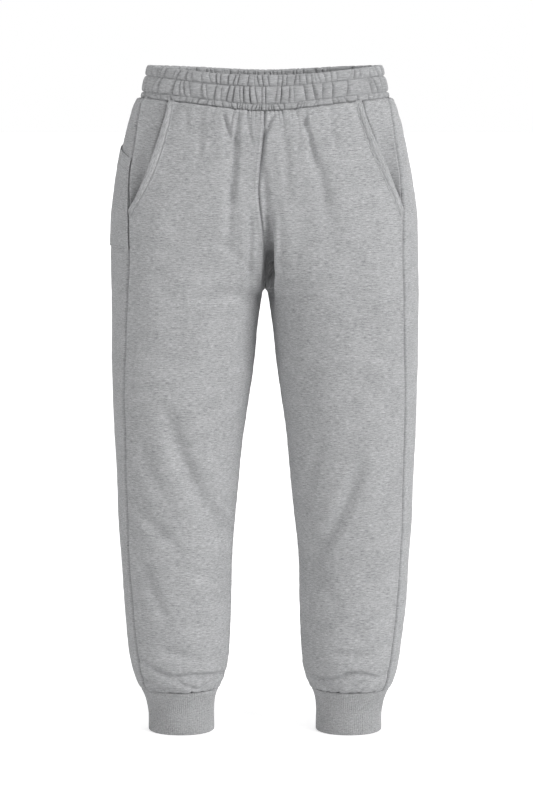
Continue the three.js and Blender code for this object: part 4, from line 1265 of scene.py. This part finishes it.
def cloth_material(name, light, dark, streak_size, knit_size):
    """Marl and knit on the cloth's own flat coordinates, with a soft sheen."""
    material = bpy.data.materials.new(name)
    material.use_nodes = True
    tree = material.node_tree
    shader = tree.nodes["Principled BSDF"]
    uv = add_node(tree, "ShaderNodeUVMap", uv_map="Cloth").outputs[0]
    contrast, wale, course = knit_size
    yarn = {
        "Vector": uv,
        "Light": (*light, 1.0),
        "Dark": (*dark, 1.0),
        "Streak Length": streak_size[0],
        "Streak Height": streak_size[1],
        "Contrast": contrast,
    }
    marl = add_group(tree, "Heather marl", yarn)
    knit = add_group(tree, "Jersey knit", {"Vector": uv, "Wale": wale, "Course": course})
    relief = {"Strength": KNIT_RELIEF_STRENGTH, "Distance": KNIT_RELIEF, "Height": knit.outputs[0]}
    rough = plus(tree, times(tree, marl.outputs[1], -0.08), 0.98)
    tree.links.new(marl.outputs[0], shader.inputs["Base Color"])
    tree.links.new(add_node(tree, "ShaderNodeBump", relief).outputs[0], shader.inputs["Normal"])
    tree.links.new(rough, shader.inputs["Roughness"])
    shader.inputs["Specular IOR Level"].default_value = 0.18
    shader.inputs["Sheen Weight"].default_value = 0.22
    shader.inputs["Sheen Roughness"].default_value = 0.6
    shader.inputs["Sheen Tint"].default_value = (0.9, 0.91, 0.93, 1.0)
    return material


def thread_material(colour):
    material = bpy.data.materials.new("Thread")
    material.use_nodes = True
    tree = material.node_tree
    shader = tree.nodes["Principled BSDF"]
    place = add_node(tree, "ShaderNodeTexCoord").outputs["Object"]
    noise = add_node(tree, "ShaderNodeTexNoise", {"Vector": place, "Scale": 900.0, "Detail": 2.0}).outputs[0]
    darker, lighter = ((*[c * share for c in colour], 1.0) for share in (0.8, 1.15))
    twist = add_node(tree, "ShaderNodeBump", {"Strength": 0.5, "Distance": 0.0001, "Height": noise})
    tree.links.new(mix_colours(tree, noise, darker, lighter), shader.inputs["Base Color"])
    tree.links.new(twist.outputs[0], shader.inputs["Normal"])
    shader.inputs["Roughness"].default_value = 0.7
    return material


def backdrop_material(tone, glow):
    """A pale floor that the camera sees a little brighter than the garment does."""
    material = bpy.data.materials.new("Pale floor")
    material.use_nodes = True
    tree = material.node_tree
    shader = tree.nodes["Principled BSDF"]
    place = add_node(tree, "ShaderNodeTexCoord").outputs["Object"]
    noise = add_node(tree, "ShaderNodeTexNoise", {"Vector": place, "Scale": 3.0, "Detail": 3.0}).outputs[0]
    darker, lighter = ((tone * share, tone * share, tone * share, 1.0) for share in (0.99, 1.0))
    seen = add_node(tree, "ShaderNodeLightPath").outputs["Is Camera Ray"]
    tree.links.new(mix_colours(tree, noise, darker, lighter), shader.inputs["Base Color"])
    tree.links.new(times(tree, seen, glow), shader.inputs["Emission Strength"])
    shader.inputs["Emission Color"].default_value = (1.0, 1.0, 1.0, 1.0)
    shader.inputs["Roughness"].default_value = 0.9
    shader.inputs["Specular IOR Level"].default_value = 0.1
    return material


class JoggerClothSettings(bpy.types.PropertyGroup):
    """The cloth's colours and the sizes of its repeats."""

    light: bpy.props.FloatVectorProperty(
        name="Light yarn",
        description="Colour of the marl's light fibres",
        subtype="COLOR",
        default=(0.63, 0.635, 0.645),
    )
    dark: bpy.props.FloatVectorProperty(
        name="Dark yarn",
        description="Colour of the marl's dark fibres",
        subtype="COLOR",
        default=(0.22, 0.222, 0.228),
    )
    rib_light: bpy.props.FloatVectorProperty(
        name="Rib light yarn",
        description="Colour of the rib knit's light fibres",
        subtype="COLOR",
        default=(0.56, 0.563, 0.57),
    )
    rib_dark: bpy.props.FloatVectorProperty(
        name="Rib dark yarn",
        description="Colour of the rib knit's dark fibres",
        subtype="COLOR",
        default=(0.25, 0.252, 0.258),
    )
    thread: bpy.props.FloatVectorProperty(
        name="Thread",
        description="Colour of the topstitching",
        subtype="COLOR",
        default=(0.31, 0.313, 0.32),
    )
    streak_length: bpy.props.FloatProperty(
        name="Streak length", description="Length of the marl's streaks", unit="LENGTH", default=0.0076
    )
    streak_height: bpy.props.FloatProperty(
        name="Streak height", description="Height of the marl's streaks", unit="LENGTH", default=0.0011
    )
    cuff_ribs: bpy.props.IntProperty(
        name="Cuff ribs", description="Ribs round each cuff", default=96, min=24, max=120
    )


class JoggerStudioSettings(bpy.types.PropertyGroup):
    """Light, floor and camera."""

    camera_distance: bpy.props.FloatProperty(
        name="Camera distance", description="From the garment's middle plane", unit="LENGTH", default=4.0
    )
    camera_height: bpy.props.FloatProperty(
        name="Camera height", description="Above the floor", unit="LENGTH", default=1.0
    )
    camera_shift: bpy.props.FloatProperty(
        name="Camera to the right", description="Sideways place of the camera", unit="LENGTH", default=0.0022
    )
    camera_tilt: bpy.props.FloatProperty(
        name="Camera tilt",
        description="Angle below the horizon",
        subtype="ANGLE",
        default=math.radians(7.211),
    )
    lens: bpy.props.FloatProperty(name="Lens", description="Focal length in millimetres", default=124.126)
    ambient: bpy.props.FloatProperty(
        name="Ambient", description="Brightness of the surroundings", default=0.54
    )
    key: bpy.props.FloatProperty(
        name="Key light", description="Strength of the light from the right", default=1.9
    )
    fill: bpy.props.FloatProperty(
        name="Fill light", description="Strength of the light from the left", default=0.4
    )
    back: bpy.props.FloatProperty(
        name="Back light", description="Strength of the light from behind", default=0.6
    )
    softness: bpy.props.FloatProperty(
        name="Softness", description="How wide each light looks", subtype="ANGLE", default=math.radians(34.0)
    )
    floor_tone: bpy.props.FloatProperty(name="Floor tone", description="Shade of the floor", default=0.8)
    floor_glow: bpy.props.FloatProperty(
        name="Floor glow", description="Brightness that the camera adds", default=0.57
    )


def fleece():
    return bpy.data.materials["Heather fleece"]


def place_piece(piece, slot, *nodes):
    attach(piece, "root")
    if nodes:
        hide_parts(*nodes)


class JOGGERS_OT_materials(bpy.types.Operator):
    """Mix the heather fleece, the rib knit and the thread."""

    bl_idname = "joggers.materials"
    bl_label = "Mix materials"

    def execute(self, context):
        cloth = context.scene.jogger_cloth
        marl_group()
        knit_group()
        streak_size = cloth.streak_length, cloth.streak_height
        cloth_material("Heather fleece", cloth.light, cloth.dark, streak_size, FLEECE_KNIT)
        cloth_material("Heather rib", cloth.rib_light, cloth.rib_dark, RIB_STREAKS, RIB_KNIT)
        thread_material(cloth.thread)
        return {"FINISHED"}


class JOGGERS_OT_waistband(bpy.types.Operator):
    """Make the gathered elastic waistband with its three tiers."""

    bl_idname = "joggers.waistband"
    bl_label = "Waistband"

    def execute(self, context):
        piece = make_waistband("Waistband", fleece())
        place_piece(piece, "fleece", "waistband")
        return {"FINISHED"}


class JOGGERS_OT_fronts(bpy.types.Operator):
    """Make the two fronts, each with the slanted edge of its pocket."""

    bl_idname = "joggers.fronts"
    bl_label = "Fronts"

    def execute(self, context):
        for side, word in SIDES:
            piece = make_panel(side, FRONT, f"Front_{word}", FRONT_COLUMNS, opening_edge, fleece())
            place_piece(piece, "fleece", f"front_{word}")
        return {"FINISHED"}


class JOGGERS_OT_backs(bpy.types.Operator):
    """Make the two backs, which wrap round the sides to the side seams."""

    bl_idname = "joggers.backs"
    bl_label = "Backs"

    def execute(self, context):
        for side, word in SIDES:
            piece = make_panel(side, BACK, f"Back_{word}", BACK_COLUMNS, seam_angle, fleece())
            place_piece(piece, "fleece", f"back_{word}")
        return {"FINISHED"}


class JOGGERS_OT_pockets(bpy.types.Operator):
    """Make the side pockets' facings and turned edges, and the patch pocket behind."""

    bl_idname = "joggers.pockets"
    bl_label = "Pockets"

    def execute(self, context):
        for side, word in SIDES:
            facing = make_facing(side, f"Pocket_facing_{word}", fleece())
            place_piece(facing, "fleece", f"pocket_facing_{word}")
            band = make_pocket_band(side, f"Pocket_band_{word}", fleece())
            place_piece(band, "fleece", f"pocket_band_{word}")
        patch = make_patch(PATCH_SIDE, "Back_pocket", fleece())
        place_piece(patch, "fleece", "back_pocket")
        return {"FINISHED"}


class JOGGERS_OT_cuffs(bpy.types.Operator):
    """Make the two ribbed cuffs."""

    bl_idname = "joggers.cuffs"
    bl_label = "Cuffs"

    def execute(self, context):
        ribs, rib_knit = context.scene.jogger_cloth.cuff_ribs, bpy.data.materials["Heather rib"]
        for side, word in SIDES:
            piece = make_cuff(side, f"Cuff_{word}", ribs, rib_knit)
            place_piece(piece, "rib", f"cuff_{word}")
        return {"FINISHED"}


class JOGGERS_OT_stitching(bpy.types.Operator):
    """Sew the topstitching of the waistband and the pockets."""

    bl_idname = "joggers.stitching"
    bl_label = "Topstitching"

    def execute(self, context):
        thread = bpy.data.materials["Thread"]
        rows = [band_stitch_path(z) for z in STITCH_ROWS]
        place_piece(make_stitches("Waistband_stitches", rows, thread), "fleece")
        for side, word in SIDES:
            row = opening_stitch_path(side)
            place_piece(make_stitches(f"Pocket_stitches_{word}", [row], thread), "fleece")
        rows = [patch_edge_path(PATCH_SIDE), patch_hem_path(PATCH_SIDE)]
        place_piece(make_stitches("Back_pocket_stitches", rows, thread), "fleece")
        return {"FINISHED"}


class JOGGERS_OT_studio(bpy.types.Operator):
    """Set the pale floor, the soft lights and the camera."""

    bl_idname = "joggers.studio"
    bl_label = "Studio"

    def execute(self, context):
        studio = context.scene.jogger_studio
        make_floor(studio)
        make_world(studio)
        for name, towards in LIGHTS_AT.items():
            make_light(f"{name.title()} light", towards, studio.softness, getattr(studio, name))
        make_camera(studio)
        context.scene.view_settings.view_transform = "Standard"
        return {"FINISHED"}


def make_floor(studio):
    bm = bmesh.new()
    bmesh.ops.create_circle(bm, cap_ends=True, segments=FLOOR_SIDES, radius=FLOOR_RADIUS)
    bmesh.ops.translate(bm, verts=bm.verts, vec=(0.0, 0.0, FLOOR_Z - FLOOR_BELOW))
    mesh = bpy.data.meshes.new("Floor")
    bm.to_mesh(mesh)
    bm.free()
    finish_piece("Floor", mesh, backdrop_material(studio.floor_tone, studio.floor_glow))


def make_world(studio):
    world = bpy.data.worlds.new("White studio")
    bpy.context.scene.world = world
    world.use_nodes = True
    tree = world.node_tree
    background = tree.nodes["Background"]
    background.inputs["Color"].default_value = (1.0, 1.0, 1.0, 1.0)
    seen = add_node(tree, "ShaderNodeLightPath").outputs["Is Camera Ray"]
    strength = plus(tree, times(tree, seen, 1.0 - studio.ambient), studio.ambient)
    tree.links.new(strength, background.inputs["Strength"])


def make_light(name, towards, softness, strength):
    light = bpy.data.lights.new(name, "SUN")
    light.angle = softness
    light.energy = strength
    lamp = bpy.data.objects.new(name, light)
    lamp.location = [LIGHT_DISTANCE * v for v in towards]
    lamp.rotation_euler = Vector(towards).to_track_quat("Z", "Y").to_euler()
    bpy.context.scene.collection.objects.link(lamp)


def make_camera(studio):
    data = bpy.data.cameras.new("Camera")
    data.lens = studio.lens
    data.sensor_width = SENSOR_WIDTH
    camera = bpy.data.objects.new("Camera", data)
    camera.location = (studio.camera_shift, -studio.camera_distance, FLOOR_Z + studio.camera_height)
    camera.rotation_euler = (math.pi / 2 - studio.camera_tilt, 0.0, 0.0)
    bpy.context.scene.collection.objects.link(camera)
    bpy.context.scene.camera = camera


STEPS = (
    JOGGERS_OT_studio,
    JOGGERS_OT_materials,
    JOGGERS_OT_waistband,
    JOGGERS_OT_fronts,
    JOGGERS_OT_backs,
    JOGGERS_OT_pockets,
    JOGGERS_OT_cuffs,
    JOGGERS_OT_stitching,
)


class JOGGERS_PT_sidebar(bpy.types.Panel):
    """The steps that build the joggers, and their settings."""

    bl_label = "Joggers"
    bl_idname = "JOGGERS_PT_sidebar"
    bl_space_type = "VIEW_3D"
    bl_region_type = "UI"
    bl_category = "Joggers"

    def draw(self, context):
        column = self.layout.column()
        for step in STEPS:
            column.operator(step.bl_idname)
        for group in (context.scene.jogger_cloth, context.scene.jogger_studio):
            for name in group.bl_rna.properties.keys():
                if name not in {"rna_type", "name"}:
                    column.prop(group, name)


CLASSES = (JoggerClothSettings, JoggerStudioSettings, *STEPS, JOGGERS_PT_sidebar)


def register():
    for cls in CLASSES:
        bpy.utils.register_class(cls)
    bpy.types.Scene.jogger_cloth = bpy.props.PointerProperty(type=JoggerClothSettings)
    bpy.types.Scene.jogger_studio = bpy.props.PointerProperty(type=JoggerStudioSettings)


def unregister():
    del bpy.types.Scene.jogger_studio
    del bpy.types.Scene.jogger_cloth
    for cls in reversed(CLASSES):
        bpy.utils.unregister_class(cls)


def main():
    register()
    for step in STEPS:
        module, name = step.bl_idname.split(".")
        getattr(getattr(bpy.ops, module), name)()


if __name__ == "__main__":
    main()
